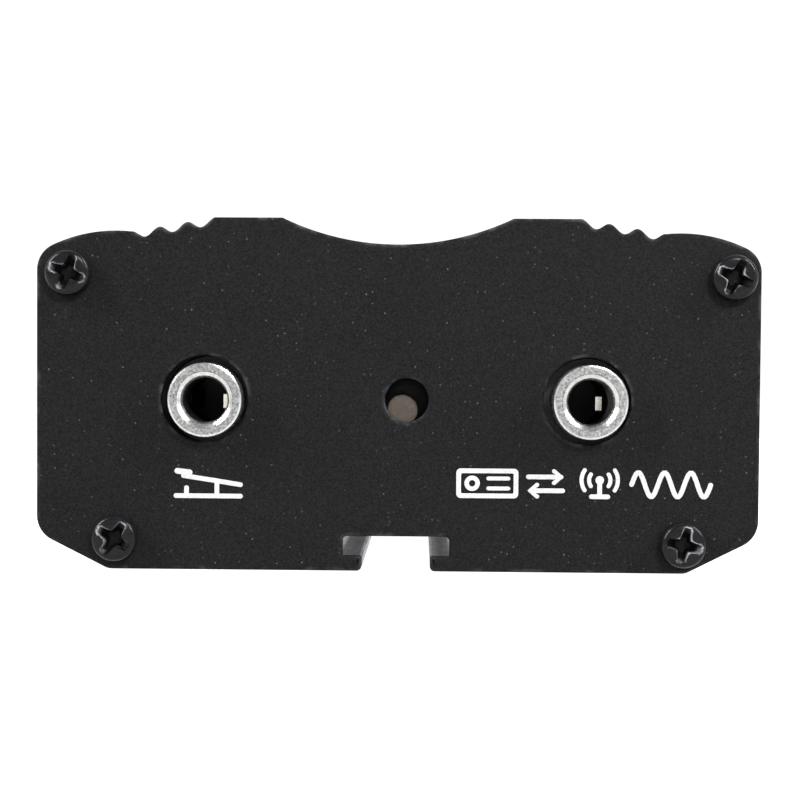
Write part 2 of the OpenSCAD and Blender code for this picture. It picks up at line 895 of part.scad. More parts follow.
// A screw through the board from underneath, which reaches this far above the board's top.
module board_screw(spot, reach)
    translate([spot[0], spot[1], board_bottom])
        rotate([180, 0, 0])
            pan_screw(inner_screw_r, board_t + reach, inner_head_r, inner_head_h);

module base_screws()
    color(bright_steel)
        for (spot = base_screw_spots)
            board_screw(spot, spot[0] == 0 ? base_t - blind_end : base_t + pillar_grip);

module ring(outer_r, inner_r, height)
    difference() {
        cylinder(r = outer_r, h = height);
        bar_z(inner_r, 0, 0, -cut, height + 2 * cut);
    }

// A ball bearing: its two races and the balls between them.
module ball_bearing() {
    ring(bearing_r, bearing_r - race_t, bearing_h);
    ring(inner_race_r, pin_r + snug, bearing_h);
    for (i = [0 : ball_count - 1])
        rotate(i * 360 / ball_count)
            translate([ball_orbit_r, 0, bearing_h / 2])
                sphere(r = ball_r, $fn = 16);
}

module lever_bearings(side)
    color(bright_steel)
        for (z = [base_top - bearing_h, bridge_z0])
            translate([side * lever_x, pivot_y, z])
                ball_bearing();

module dit_bearings() lever_bearings(1);

module dah_bearings() lever_bearings(-1);

// ---------------------------------------------------------------- stop and contacts

// A square post on the board at x, tapped for the screw under it. Its children are its other holes.
module post(x, half_w)
    difference() {
        block(
            [x - half_w, contact_y - post_half_len, board_top],
            [x + half_w, contact_y + post_half_len, lever_z1]
        );
        bar_z(inner_screw_r, x, contact_y, board_top - cut, post_screw_depth + cut);
        children();
    }

module stop_post()
    color(brass)
        post(0, stop_half_w) {
            bar_x(stop_rod_r + snug, -stop_half_w - cut, 2 * (stop_half_w + cut), contact_y, stop_rod_z);
            both_sides()
                bar_x(magnet_r + snug, stop_half_w - magnet_t, magnet_t + cut, contact_y, magnet_z);
        }

module stop_rod()
    color(nylon_white)
        bar_x(stop_rod_r, -stop_reach, 2 * stop_reach, contact_y, stop_rod_z);

module stop_magnets()
    color(magnet_nickel)
        both_sides()
            bar_x(magnet_r, stop_half_w - magnet_t, magnet_t, contact_y, magnet_z);

module contact_post(side)
    color(brass)
        on_side(side)
            post(post_x, post_half_w)
                bar_x(
                    inner_screw_r, post_x - post_half_w - cut, 2 * (post_half_w + cut),
                    contact_y, lever_mid_z
                );

module contact_screw(side)
    color(bright_steel)
        on_side(side) {
            bar_x(inner_screw_r - snug, contact_tip_x, knob_x - contact_tip_x, contact_y, lever_mid_z);
            difference() {
                bar_x(knob_r, knob_x, knob_t, contact_y, lever_mid_z);
                block(
                    [knob_x + knob_t - knob_slot_depth, contact_y - knob_r, lever_mid_z - knob_slot_half_w],
                    [knob_x + knob_t + cut, contact_y + knob_r, lever_mid_z + knob_slot_half_w]
                );
            }
        }

module contact_lock_nuts()
    color(brass)
        both_sides()
            translate([post_x + post_half_w, contact_y, lever_mid_z])
                rotate([0, 90, 0])
                    difference() {
                        cylinder(r = nut_r, h = nut_t, $fn = 6);
                        bar_z(inner_screw_r, 0, 0, -cut, nut_t + 2 * cut);
                    }

module post_screws()
    color(bright_steel)
        for (spot = post_screw_spots)
            board_screw(spot, post_screw_depth - blind_end);

module dit_contact_post() contact_post(1);

module dah_contact_post() contact_post(-1);

module dit_contact_screw() contact_screw(1);

module dah_contact_screw() contact_screw(-1);

// ---------------------------------------------------------------- levers

// A lever's flat bar with its hub and thrust rings, and the holes for what it carries.
module lever(side)
    color(satin_aluminium)
        on_side(side)
            difference() {
                union() {
                    block(
                        [lever_x - lever_t / 2, pivot_y - tail_len, lever_z0],
                        [lever_x + lever_t / 2, bar_end_y, lever_z1]
                    );
                    bar_z(hub_r, lever_x, pivot_y, lever_z0, lever_h);
                    bar_z(thrust_r, lever_x, pivot_y, base_top + touch_gap, pillar_h - 2 * touch_gap);
                }
                bar_z(pin_r, lever_x, pivot_y, base_top, pillar_h);
                bar_x(magnet_r + snug, lever_x - lever_t / 2 - cut, magnet_t + cut, contact_y, magnet_z);
                bar_x(rivet_stem_r, rivet_stem_x, rivet_stem_len + cut, contact_y, lever_mid_z);
                for (dy = finger_screw_y)
                    bar_x(finger_screw_r, lever_x - lever_t, 2 * lever_t, finger_y0 + dy, lever_mid_z);
            }

module pivot_pin(side)
    color(bright_steel)
        bar_z(pin_r, side * lever_x, pivot_y, base_top - bearing_h, pillar_h + 2 * bearing_h);

module finger_piece(side)
    color(black_plastic)
        on_side(side)
            difference() {
                translate([lever_x + lever_t / 2, 0, 0])
                    rotate([90, 0, 90])
                        linear_extrude(finger_t)
                            polygon(rounded([
                                [finger_y0, lever_mid_z - finger_h / 2, finger_corner_r],
                                [finger_y0 + finger_len, lever_mid_z - finger_h / 2, finger_nose_r],
                                [finger_y0 + finger_len, lever_mid_z + finger_h / 2, finger_nose_r],
                                [finger_y0, lever_mid_z + finger_h / 2, finger_corner_r]
                            ]));
                at_finger_screws() sunk_hole(finger_screw_r, finger_t + cut, finger_head_r);
            }

// Puts its children at the right finger piece's screws, with +Z out of the finger piece's face.
module at_finger_screws()
    for (dy = finger_screw_y)
        translate([lever_x + lever_t / 2 + finger_t, finger_y0 + dy, lever_mid_z])
            rotate([0, 90, 0])
                children();

module finger_screws(side)
    color(bright_steel)
        on_side(side)
            at_finger_screws() sunk_screw(finger_screw_r, finger_t + lever_t - slip, finger_head_r);

module lever_magnet(side)
    color(magnet_nickel)
        on_side(side)
            bar_x(magnet_r, lever_x - lever_t / 2, magnet_t, contact_y, magnet_z);

module contact_rivet(side)
    color(contact_silver)
        on_side(side) {
            bar_x(rivet_head_r, lever_x + lever_t / 2, rivet_head_h, contact_y, lever_mid_z);
            bar_x(rivet_stem_r, rivet_stem_x, rivet_stem_len, contact_y, lever_mid_z);
        }

module dit_lever() lever(1);

module dit_pivot_pin() pivot_pin(1);

module dit_finger_piece() finger_piece(1);

module dit_finger_screws() finger_screws(1);

module dit_magnet() lever_magnet(1);

module dit_contact_rivet() contact_rivet(1);

module dah_lever() lever(-1);

module dah_pivot_pin() pivot_pin(-1);

module dah_finger_piece() finger_piece(-1);

module dah_finger_screws() finger_screws(-1);

module dah_magnet() lever_magnet(-1);

module dah_contact_rivet() contact_rivet(-1);

// ---------------------------------------------------------------- nodes

body_shell();
rear_plate();
front_plate();
rear_plate_screws();
front_plate_screws();
circuit_board();
key_jack_barrel();
key_jack_body();
key_jack_contacts();
transceiver_jack_barrel();
transceiver_jack_body();
transceiver_jack_contacts();
set_button_case();
set_button_cover();
set_button_stem();
keyer_chip();
keyer_chip_leads();
chip_resistors();
chip_capacitors();
coin_cell_holder();
coin_cell();
coin_cell_clip();
mechanism_base();
bearing_bridge();
bridge_pillars();
bridge_screws();
base_screws();
dit_bearings();
dah_bearings();
stop_post();
stop_rod();
stop_magnets();
dit_contact_post();
dah_contact_post();
dit_contact_screw();
dah_contact_screw();
contact_lock_nuts();
post_screws();
dit_lever();
dit_pivot_pin();
dit_finger_piece();
dit_finger_screws();
dit_magnet();
dit_contact_rivet();
dah_lever();
dah_pivot_pin();
dah_finger_piece();
dah_finger_screws();
dah_magnet();
dah_contact_rivet();
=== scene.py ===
"""Looks of a pocket dual-lever morse key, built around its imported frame.

Every size in the classes is in millimetres, in the frame's own axes: +X to the right
seen from the sockets' end, +Y from the sockets towards the finger pieces, +Z up.
"""

import logging
import math
from dataclasses import dataclass, field
from enum import Enum
from typing import Any, Sequence

import bmesh
import bpy
from mathutils import Matrix, Vector
from mathutils.geometry import delaunay_2d_cdt, intersect_point_tri_2d, tessellate_polygon


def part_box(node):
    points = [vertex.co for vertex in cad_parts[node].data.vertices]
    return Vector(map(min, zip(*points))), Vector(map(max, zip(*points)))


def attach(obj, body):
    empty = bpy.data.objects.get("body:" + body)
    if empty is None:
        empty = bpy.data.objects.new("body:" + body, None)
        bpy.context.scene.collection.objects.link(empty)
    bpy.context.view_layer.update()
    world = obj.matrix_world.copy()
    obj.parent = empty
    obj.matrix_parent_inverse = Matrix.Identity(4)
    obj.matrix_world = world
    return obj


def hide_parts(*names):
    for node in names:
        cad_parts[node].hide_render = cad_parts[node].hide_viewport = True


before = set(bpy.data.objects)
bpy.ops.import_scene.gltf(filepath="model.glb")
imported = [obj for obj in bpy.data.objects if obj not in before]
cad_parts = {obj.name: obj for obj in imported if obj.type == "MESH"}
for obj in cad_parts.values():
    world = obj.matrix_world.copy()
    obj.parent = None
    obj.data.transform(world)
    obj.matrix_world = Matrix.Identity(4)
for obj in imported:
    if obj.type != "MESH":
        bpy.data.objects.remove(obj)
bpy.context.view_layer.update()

LOG = logging.getLogger("morse_key")
MM = 0.001
# Points closer than this, in metres, are one point.
MERGE = 1e-7
# How near a point lies to a plane, in millimetres, to count as on it.
ON_PLANE = 1e-3
# The most that an inset reaches out at a sharp corner, as the divisor that it stops at.
MITRE = 0.35
# A CAD circle has at least this many points, whose reaches differ by less than this.
CIRCLE_POINTS = 12
CIRCLE_SPREAD = 0.02
# The wear at the two lips of a rounded edge; between them it is full.
LIP_WEAR = 0.6
CASE = "case"
DIT = "dit_lever_body"
DAH = "dah_lever_body"
BUTTON = "set_button"

Flat = tuple[float, float]
Point = tuple[float, float, float]
Tree = bpy.types.NodeTree
Link = bpy.types.NodeSocket


# ---------------------------------------------------------------- small helpers


def linear(colour: str) -> tuple[float, float, float, float]:
    """Turns an sRGB hex colour into linear red, green, blue and alpha.

    Args:
        colour: Six hex digits after a hash.

    Returns:
        The linear colour, opaque.
    """
    parts = [int(colour[i : i + 2], 16) / 255 for i in (1, 3, 5)]
    red, green, blue = (
        part / 12.92 if part <= 0.04045 else ((part + 0.055) / 1.055) ** 2.4 for part in parts
    )
    return red, green, blue, 1.0


def add_node(
    tree: Tree, kind: str, inputs: dict[str | int, Any] | None = None, **settings: Any
) -> bpy.types.Node:
    """Adds a node, sets its properties, and fills or links its inputs.

    Args:
        tree: The node tree to add to.
        kind: The node's type name.
        inputs: Values or output sockets, by input name or number.
        **settings: Properties of the node.

    Returns:
        The new node.
    """
    node = tree.nodes.new(kind)
    for name, value in settings.items():
        setattr(node, name, value)
    for key, value in (inputs or {}).items():
        if isinstance(value, Link):
            tree.links.new(value, node.inputs[key])
        else:
            node.inputs[key].default_value = value
    return node


def maths(tree: Tree, operation: str, first: Link, second: Link | float) -> Link:
    """Adds a sum on two values."""
    node = add_node(tree, "ShaderNodeMath", {0: first, 1: second}, operation=operation)
    return node.outputs["Value"]


def ramp(tree: Tree, value: Link, start: Flat, end: Flat = (0.0, 1.0)) -> Link:
    """Adds a node that maps a value from one range to another.

    Args:
        tree: The node tree to add to.
        value: The value.
        start: The range that it comes from; past its ends the result stays level.
        end: The range that it goes to.

    Returns:
        The mapped value.
    """
    names = ("From Min", "From Max", "To Min", "To Max")
    inputs = {"Value": value, **dict(zip(names, (*start, *end)))}
    return add_node(tree, "ShaderNodeMapRange", inputs).outputs["Result"]


def node_box(node: str) -> tuple[Point, Point]:
    """Gives a CAD node's lowest and highest corner in millimetres.

    Args:
        node: The node's name.

    Returns:
        The two corners.
    """
    low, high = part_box(node)
    return tuple(v / MM for v in low), tuple(v / MM for v in high)


class Axis(Enum):
    """The axis that a shape is swept along or turned about."""

    X = "X"
    Y = "Y"
    Z = "Z"

    def point(self, u: float, v: float, w: float) -> Point:
        """Places u and v across the axis, in alphabetical order, and w along it."""
        if self is Axis.X:
            return (w, u, v)
        if self is Axis.Y:
            return (u, w, v)
        return (u, v, w)


# ---------------------------------------------------------------- flat shapes


def signed_area(loop: Sequence[Flat]) -> float:
    """Gives a closed outline's area, positive where it runs counter-clockwise."""
    return 0.5 * sum(
        a[0] * b[1] - b[0] * a[1] for a, b in zip(loop, list(loop[1:]) + [loop[0]])
    )


def wound(loop: Sequence[Flat], counter_clockwise: bool) -> list[Flat]:
    """Gives the outline in the wanted direction."""
    return list(loop) if (signed_area(loop) > 0) == counter_clockwise else list(reversed(loop))


def arc(centre: Flat, radius: float, start: float, sweep: float, steps: int) -> list[Flat]:
    """Gives points of an arc.

    Args:
        centre: Its middle.
        radius: Its radius.
        start: The first point's angle in degrees.
        sweep: How far it turns, in degrees.
        steps: The number of chords.

    Returns:
        The points, both ends included.
    """
    angles = [math.radians(start + sweep * i / steps) for i in range(steps + 1)]
    return [
        (centre[0] + radius * math.cos(a), centre[1] + radius * math.sin(a)) for a in angles
    ]


def circle(centre: Flat, radius: float, steps: int) -> list[Flat]:
    """Gives the points of a whole circle, counter-clockwise."""
    return arc(centre, radius, 0, 360, steps)[:-1]


def corner(before: Flat, at: Flat, after: Flat, radius: float, steps: int = 10) -> list[Flat]:
    """Gives the points that round one corner of a path.

    Args:
        before: The path's point before the corner.
        at: The corner.
        after: The path's point after it.
        radius: The rounding's radius, or 0 for a sharp corner.
        steps: The number of chords.

    Returns:
        The rounding's points.
    """
    if radius == 0:
        return [at]
    here = Vector(at)
    to_before = (Vector(before) - here).normalized()
    to_after = (Vector(after) - here).normalized()
    half = math.acos(max(-1.0, min(1.0, to_before.dot(to_after)))) / 2
    middle = here + (to_before + to_after).normalized() * (radius / math.sin(half))
    start = here + to_before * (radius / math.tan(half)) - middle
    end = here + to_after * (radius / math.tan(half)) - middle
    first = math.degrees(math.atan2(start.y, start.x))
    turn = math.degrees(math.atan2(end.y, end.x)) - first
    turn = turn - 360 if turn > 180 else turn + 360 if turn < -180 else turn
    return arc((middle.x, middle.y), radius, first, turn, steps)


def rounded_path(path: Sequence[Point], steps: int = 10) -> list[Flat]:
    """Rounds the inner corners of an open path of x, z and radius; its ends only aim it."""
    points: list[Flat] = []
    for before, at, after in zip(path, path[1:], path[2:]):
        points += corner(before[:2], at[:2], after[:2], at[2], steps)
    return points


def rounded(outline: Sequence[Point], steps: int = 10) -> list[Flat]:
    """Rounds every corner of a closed outline of x, z and radius."""
    return rounded_path([outline[-1], *outline, outline[0]], steps)


def rounded_box(low: Flat, high: Flat, radius: float, steps: int) -> list[Flat]:
    """Gives the outline of a box from its lowest and highest corner."""
    corners = ((low[0], low[1]), (high[0], low[1]), (high[0], high[1]), (low[0], high[1]))
    return rounded([(u, v, radius) for u, v in corners], steps)


def inset(loop: Sequence[Flat], distance: float) -> list[Flat]:
    """Moves a closed outline to its left by a small distance, keeping its point count.

    Args:
        loop: The outline; to its left is the material.
        distance: How far each side moves.

    Returns:
        The moved outline.
    """
    moved: list[Flat] = []
    count = len(loop)
    for i, at in enumerate(loop):
        before, after = Vector(loop[i - 1]), Vector(loop[(i + 1) % count])
        here = Vector(at)
        first = (here - before).normalized()
        second = (after - here).normalized()
        left = Vector((-first.y, first.x)) + Vector((-second.y, second.x))
        shift = left / max(MITRE, 1 + first.dot(second)) * distance
        moved.append((here.x + shift.x, here.y + shift.y))
    return moved


# ---------------------------------------------------------------- solids


@dataclass
class Solid:
    """A mesh under construction, in millimetres.

    Each point has a wear from 0 to 1, which the finishes read at exposed edges, and each
    face the number of its finish.
    """

    points: list[Point] = field(default_factory=list)
    faces: list[tuple[int, ...]] = field(default_factory=list)
    finish_of: list[int] = field(default_factory=list)
    wear: list[float] = field(default_factory=list)

    def add(
        self,
        points: Sequence[Point],
        faces: Sequence[Sequence[int]],
        finish: int = 0,
        wear: float | Sequence[float] = 0.0,
    ) -> None:
        """Adds points, and faces that count from the first of them.

        Args:
            points: The points.
            faces: Point numbers of each face.
            finish: The number of the faces' finish.
            wear: One wear for all the points, or one for each.
        """
        start = len(self.points)
        self.points += points
        self.faces += [tuple(start + i for i in face) for face in faces]
        self.finish_of += [finish] * len(faces)
        self.wear += [wear] * len(points) if isinstance(wear, float) else list(wear)

    def sweep(
        self,
        loops: Sequence[Sequence[Flat]],
        axis: Axis,
        low: float,
        high: float,
        edge: float,
        skirt: float = 0.2,
        rounds: int = 3,
    ) -> None:
        """Adds a flat shape swept along an axis, with rounded edges at both ends.

        Args:
            loops: The outline, then its holes.
            axis: The direction of the sweep.
            low: Where it starts.
            high: Where it ends.
            edge: The radius of the rounded edges.
            skirt: How far wear fades out from an edge.
            rounds: The number of chords across a rounded edge.
        """
        turned = [wound(loop, i == 0) for i, loop in enumerate(loops)]
        rings = [(edge + skirt, low, 0.0)]
        for i in range(rounds + 1):
            angle = math.pi / 2 * i / rounds
            wear = 1.0 if 0 < i < rounds else LIP_WEAR
            gap, rise = edge * (1 - math.sin(angle)), edge * (1 - math.cos(angle))
            rings.append((gap, low + rise, wear))
        rings.append((0.0, low + edge + skirt, 0.0))
        rings += [(gap, low + high - w, wear) for gap, w, wear in reversed(rings)]
        start = len(self.points)
        for loop in turned:
            count = len(loop)
            base = len(self.points) - start
            for gap, w, wear in rings:
                self.points += [axis.point(u, v, w) for u, v in inset(loop, gap)]
                self.wear += [wear] * count
            for r in range(len(rings) - 1):
                for i in range(count):
                    j = (i + 1) % count
                    a, b = start + base + r * count, start + base + (r + 1) * count
                    self.faces.append((a + i, a + j, b + j, b + i))
                    self.finish_of.append(0)
        for gap, w, _ in (rings[0], rings[-1]):
            flat = [inset(loop, gap) for loop in turned]
            corners = [p for loop in flat for p in loop]
            triangles = tessellate_polygon([[Vector((u, v, 0)) for u, v in loop] for loop in flat])
            self.add([axis.point(u, v, w) for u, v in corners], triangles)

    def turn(
        self,
        profile: Sequence[Flat],
        axis: Axis,
        centre: Flat,
        steps: int = 64,
        closed: bool = True,
        finishes: Sequence[int] | None = None,
    ) -> None:
        """Adds a profile turned about an axis.

        Args:
            profile: Radius and place along the axis of each point.
            axis: The axis to turn about.
            centre: Where the axis stands across its own direction.
            steps: The number of sides.
            closed: True if the last point joins the first.
            finishes: The number of the finish of each stretch between two points.
        """
        count = len(profile)
        start = len(self.points)
        for i in range(steps):
            cos, sin = math.cos(2 * math.pi * i / steps), math.sin(2 * math.pi * i / steps)
            self.points += [
                axis.point(centre[0] + radius * cos, centre[1] + radius * sin, w)
                for radius, w in profile
            ]
        self.wear += [0.0] * (steps * count)
        for i in range(steps):
            a, b = start + i * count, start + (i + 1) % steps * count
            for k in range(count if closed else count - 1):
                n = (k + 1) % count
                self.faces.append((a + k, b + k, b + n, a + n))
                self.finish_of.append(finishes[k] if finishes else 0)

    def build(
        self, name: str, finishes: Sequence[bpy.types.Material], sharp: float = 32.0
    ) -> bpy.types.Object:
        """Makes the Blender object, merged, turned outwards and smooth between its edges.

        Args:
            name: The object's name.
            finishes: Its materials.
            sharp: The angle, in degrees, past which an edge stays sharp.

        Returns:
            The object, with its place in its mesh.
        """
        mesh = bpy.data.meshes.new(name)
        mesh.from_pydata([tuple(c * MM for c in p) for p in self.points], [], self.faces)
        mesh.polygons.foreach_set("material_index", self.finish_of)
        mesh.attributes.new("wear", "FLOAT", "POINT").data.foreach_set("value", self.wear)
        inner = [finish == 1 for finish in self.finish_of]
        mesh.attributes.new("inner", "BOOLEAN", "FACE").data.foreach_set("value", inner)
        for finish in finishes:
            mesh.materials.append(finish)
        draft = bmesh.new()
        draft.from_mesh(mesh)
        bmesh.ops.remove_doubles(draft, verts=draft.verts, dist=MERGE)
        bmesh.ops.dissolve_degenerate(draft, edges=draft.edges, dist=MERGE)
        bmesh.ops.recalc_face_normals(draft, faces=draft.faces)
        draft.to_mesh(mesh)
        draft.free()
        mesh.polygons.foreach_set("use_smooth", [True] * len(mesh.polygons))
        mesh.set_sharp_from_angle(angle=math.radians(sharp))
        mesh.update()
        piece = bpy.data.objects.new(name, mesh)
        bpy.context.scene.collection.objects.link(piece)
        return piece


# ---------------------------------------------------------------- finishes


class Grain(Enum):
    """The direction in which a surface was worked, as how much its pattern is drawn out."""

    EVEN = (1.0, 1.0, 1.0)
    ALONG_X = (0.04, 1.0, 1.0)
    ALONG_Y = (1.0, 0.04, 1.0)


# Where the middle of a noise's range lies, and of two noises' sum.
GRAIN_RANGE = (0.32, 0.68)
SUM_RANGE = (0.6, 1.4)
# A speck's edge and its full strength, as shares of its cell, and how much the strong stand out.
SPECK_EDGE = (0.17, 0.05)
SPECK_CONTRAST = 3.0
# The size of the gaps in worn edges, and the noise at which wear starts and is full.
WEAR_MM = 1.3
WEAR_RANGE = (0.48, 0.66)
COAT_ROUGHNESS = 0.15


@dataclass(frozen=True)
class Finish:
    """A finish: what a piece is made of and how its surface was made.

    Attributes:
        name: The material's name.
        colour: Its colour.
        second: The colour that it drifts to in patches.
        metallic: 1 for bare metal, 0 for the rest.
        roughness: Its mean roughness.
        ior: Its index of refraction; a metal keeps the default.
        specular: The strength of its gloss where it isn't metal.
        grain: The direction of its fine grain.
        grain_mm: The size of that grain.
        grain_tone: How far the grain lightens and darkens the colour.
        relief_mm: The height of the grain.
        patch_mm: The size of the patches of tone.
        swing: How far the roughness drifts either way.
        specks: The share of cells that hold a light speck.
        speck_mm: The spacing of those cells.
        speck: The specks' colour.
        worn: The colour at worn edges, or none.
        coat: The strength of a clear coat.
        glow: The strength of its own light.
    """

    name: str
    colour: str
    second: str
    metallic: float = 0.0
    roughness: float = 0.5
    ior: float = 1.5
    specular: float = 0.5
    grain: Grain = Grain.EVEN
    grain_mm: float = 0.2
    grain_tone: float = 0.16
    relief_mm: float = 0.004
    patch_mm: float = 5.0
    swing: float = 0.1
    specks: float = 0.0
    speck_mm: float = 0.7
    speck: str = "#9a9a9c"
    worn: str = ""
    coat: float = 0.0
    glow: float = 0.0

    def build(self) -> bpy.types.Material:
        """Makes the material, with its tone, specks, wear, roughness and grain."""
        material = bpy.data.materials.new(self.name)
        material.use_nodes = True
        tree = material.node_tree
        tree.nodes.clear()
        place = add_node(tree, "ShaderNodeTexCoord").outputs["Object"]
        drawn = add_node(
            tree, "ShaderNodeMapping", {"Vector": place, "Scale": self.grain.value}
        ).outputs["Vector"]
        fine = self._noise(tree, drawn, self.grain_mm, 3.0)
        patches = self._noise(tree, place, self.patch_mm, 2.0)
        tone = self._mix(tree, patches, linear(self.colour), linear(self.second))
        tone = self._grain_tone(tree, fine, tone)
        rough = self._roughness(tree, fine, patches)
        if self.specks:
            tone = self._mix(tree, self._speck_mask(tree, place), tone, linear(self.speck))
        if self.worn:
            mask = self._wear_mask(tree, place)
            tone = self._mix(tree, mask, tone, linear(self.worn))
        relief = {"Height": fine, "Distance": self.relief_mm * MM, "Strength": 1.0}
        looks = {
            "Base Color": tone,
            "Metallic": self.metallic,
            "Roughness": rough,
            "Normal": add_node(tree, "ShaderNodeBump", relief).outputs["Normal"],
            "Coat Weight": self.coat,
            "Coat Roughness": COAT_ROUGHNESS,
        }
        if self.metallic < 1:
            looks |= {"IOR": self.ior, "Specular IOR Level": self.specular}
        if self.glow:
            looks |= {"Emission Color": linear("#ffffff"), "Emission Strength": self.glow}
        surface = add_node(tree, "ShaderNodeBsdfPrincipled", looks)
        add_node(tree, "ShaderNodeOutputMaterial", {"Surface": surface.outputs["BSDF"]})
        return material

    @staticmethod
    def _noise(tree: Tree, place: Link, size_mm: float, detail: float) -> Link:
        """Adds a noise whose lumps are about size_mm across."""
        inputs = {
            "Vector": place, "Scale": 1 / (size_mm * MM), "Detail": detail, "Roughness": 0.55
        }
        return add_node(tree, "ShaderNodeTexNoise", inputs).outputs["Fac"]

    @staticmethod
    def _mix(tree: Tree, factor: Any, low: Any, high: Any, blend: str = "MIX") -> Link:
        """Adds a mix of two colours, each a value or a link."""
        inputs = {0: factor, 6: low, 7: high}
        node = add_node(tree, "ShaderNodeMix", inputs, data_type="RGBA", blend_type=blend)
        return node.outputs[2]

    def _grain_tone(self, tree: Tree, fine: Link, tone: Link) -> Link:
        """Darkens the hollows of the grain and lightens its tops a little."""
        spread = (1 - self.grain_tone, 1 + self.grain_tone)
        return self._mix(tree, 1.0, tone, ramp(tree, fine, GRAIN_RANGE, spread), "MULTIPLY")

    def _roughness(self, tree: Tree, fine: Link, patches: Link) -> Link:
        """Gives a roughness that drifts with the grain and the patches."""
        spread = (max(0.05, self.roughness - self.swing), min(1.0, self.roughness + self.swing))
        return ramp(tree, maths(tree, "ADD", fine, patches), SUM_RANGE, spread)

    def _speck_mask(self, tree: Tree, place: Link) -> Link:
        """Gives small round specks, strong in few of the cells and faint in the rest."""
        inputs = {"Vector": place, "Scale": 1 / (self.speck_mm * MM)}
        cells = add_node(tree, "ShaderNodeTexVoronoi", inputs).outputs
        split = add_node(tree, "ShaderNodeSeparateColor", {"Color": cells["Color"]})
        picked = ramp(tree, split.outputs["Red"], (1 - self.specks, 1.0))
        strong = maths(tree, "POWER", picked, SPECK_CONTRAST)
        return maths(tree, "MULTIPLY", ramp(tree, cells["Distance"], SPECK_EDGE), strong)

    @staticmethod
    def _wear_mask(tree: Tree, place: Link) -> Link:
        """Breaks the mesh's own edge wear up with a noise."""
        edge = add_node(
            tree, "ShaderNodeAttribute", attribute_name="wear", attribute_type="GEOMETRY"
        ).outputs["Fac"]
        broken = Finish._noise(tree, place, WEAR_MM, 4.0)
        return maths(tree, "MULTIPLY", edge, ramp(tree, broken, WEAR_RANGE))


# Aluminium, bead-blasted and then anodised with black dye: a fine even sparkle, a few pale specks
# in its colour, and grey at the rubbed edges.
BLACK_ANODISED = Finish(
    "black_anodised_aluminium", "#131314", "#171718", roughness=0.52, specular=0.1,
    grain_mm=0.15, grain_tone=0.8, relief_mm=0.018, patch_mm=7.0, swing=0.08, specks=0.95,
    speck_mm=0.5, speck="#6c6c70", worn="#4a4a4c",
)
# The same, on the extrusion's long faces: faint die lines run along the case.
BLACK_EXTRUSION = Finish(
    "black_anodised_extrusion", "#161617", "#1b1b1c", roughness=0.47, specular=0.25,
    grain=Grain.ALONG_Y, grain_mm=0.24, grain_tone=0.5, relief_mm=0.01, patch_mm=9.0,
    swing=0.1, specks=1.0, speck_mm=0.7, speck="#8d8d90", worn="#4a4a4c",
)
# Steel screws with a baked black skin: dark and oily, bright where a driver has rubbed.
BLACK_OXIDE = Finish(
    "black_oxide_steel", "#131315", "#19191b", roughness=0.23, specular=0.15,
    grain_mm=0.22, grain_tone=0.3, relief_mm=0.004, patch_mm=0.9, swing=0.06,
    worn="#c4c4c8",
)
# The screws' recesses: the same skin painted near black as painted shade inside the recess, bare
# only at the lip; the set button stem's base takes it too.
SHADED_RECESS = Finish(
    "painted_shade_recess", "#050506", "#0b0b0c", roughness=0.6, specular=0.12,
    grain_mm=0.2, grain_tone=0.4, relief_mm=0.01, patch_mm=0.5, swing=0.15,
    worn="#c4c4c8",
)
# Extrusion inside the slot: painted light, a pale grey bare-metal finish with grain along the case
# that stands in for the floor's light and the grazing reflections on the slot walls.
SLOT_PAINTED_LIGHT = Finish(
    "slot_painted_light_metal", "#c0c0c2", "#909092", metallic=1.0, roughness=0.36,
    grain=Grain.ALONG_Y, grain_mm=0.18, grain_tone=0.35, relief_mm=0.006, patch_mm=3.0,
    swing=0.1,
)
# Brass barrels with a nickel plate: bright on the turned bevels.
BRIGHT_NICKEL = Finish(
    "bright_nickel_plate", "#c2c2c0", "#a6a6a5", metallic=1.0, roughness=0.28,
    grain_mm=0.3, relief_mm=0.003, patch_mm=0.8, swing=0.08,
)
# The barrels' end faces: plugs have scuffed them matt grey, with dark pits.
SCUFFED_NICKEL = Finish(
    "scuffed_nickel_plate", "#a8a8a7", "#5e5e5d", metallic=1.0, roughness=0.44,
    grain_mm=0.18, grain_tone=0.5, relief_mm=0.03, patch_mm=0.42, swing=0.14,
    specks=1.0, speck_mm=0.36, speck="#101010",
)
# Moulded black ABS and PBT: a fine spark-eroded texture and a low sheen.
BLACK_PLASTIC = Finish(
    "moulded_black_plastic", "#121213", "#18181a", roughness=0.52, ior=1.53,
    grain_mm=0.25, relief_mm=0.008, patch_mm=3.0, swing=0.08,
)
# Beige ABS of the button's stem: soft and slightly greasy.
BEIGE_PLASTIC = Finish(
    "moulded_beige_plastic", "#786d63", "#645b52", roughness=0.5, ior=1.53, specular=0.25,
    grain_mm=0.2, relief_mm=0.006, patch_mm=1.2, swing=0.08,
)
# Phosphor bronze leaves that have lost their tin and gone dull brown.
TARNISHED_BRONZE = Finish(
    "tarnished_bronze_leaf", "#57504a", "#423d38", metallic=1.0, roughness=0.4,
    grain=Grain.ALONG_Y, grain_mm=0.1, relief_mm=0.004, patch_mm=0.8, swing=0.1,
)
# Rolled phosphor bronze with a tin skin, bright along the rolling.
TINNED_BRONZE = Finish(
    "tinned_bronze_strip", "#dedad2", "#cdc8bc", metallic=1.0, roughness=0.24,
    grain=Grain.ALONG_Y, grain_mm=0.08, relief_mm=0.002, patch_mm=1.0, swing=0.08,
)
# Glass-fibre board under green solder mask: the weave shows as a faint check.
SOLDER_MASK = Finish(
    "green_solder_mask", "#0f4a2a", "#176036", roughness=0.3, ior=1.55,
    grain_mm=0.45, relief_mm=0.01, patch_mm=2.5, swing=0.08, coat=0.3,
)
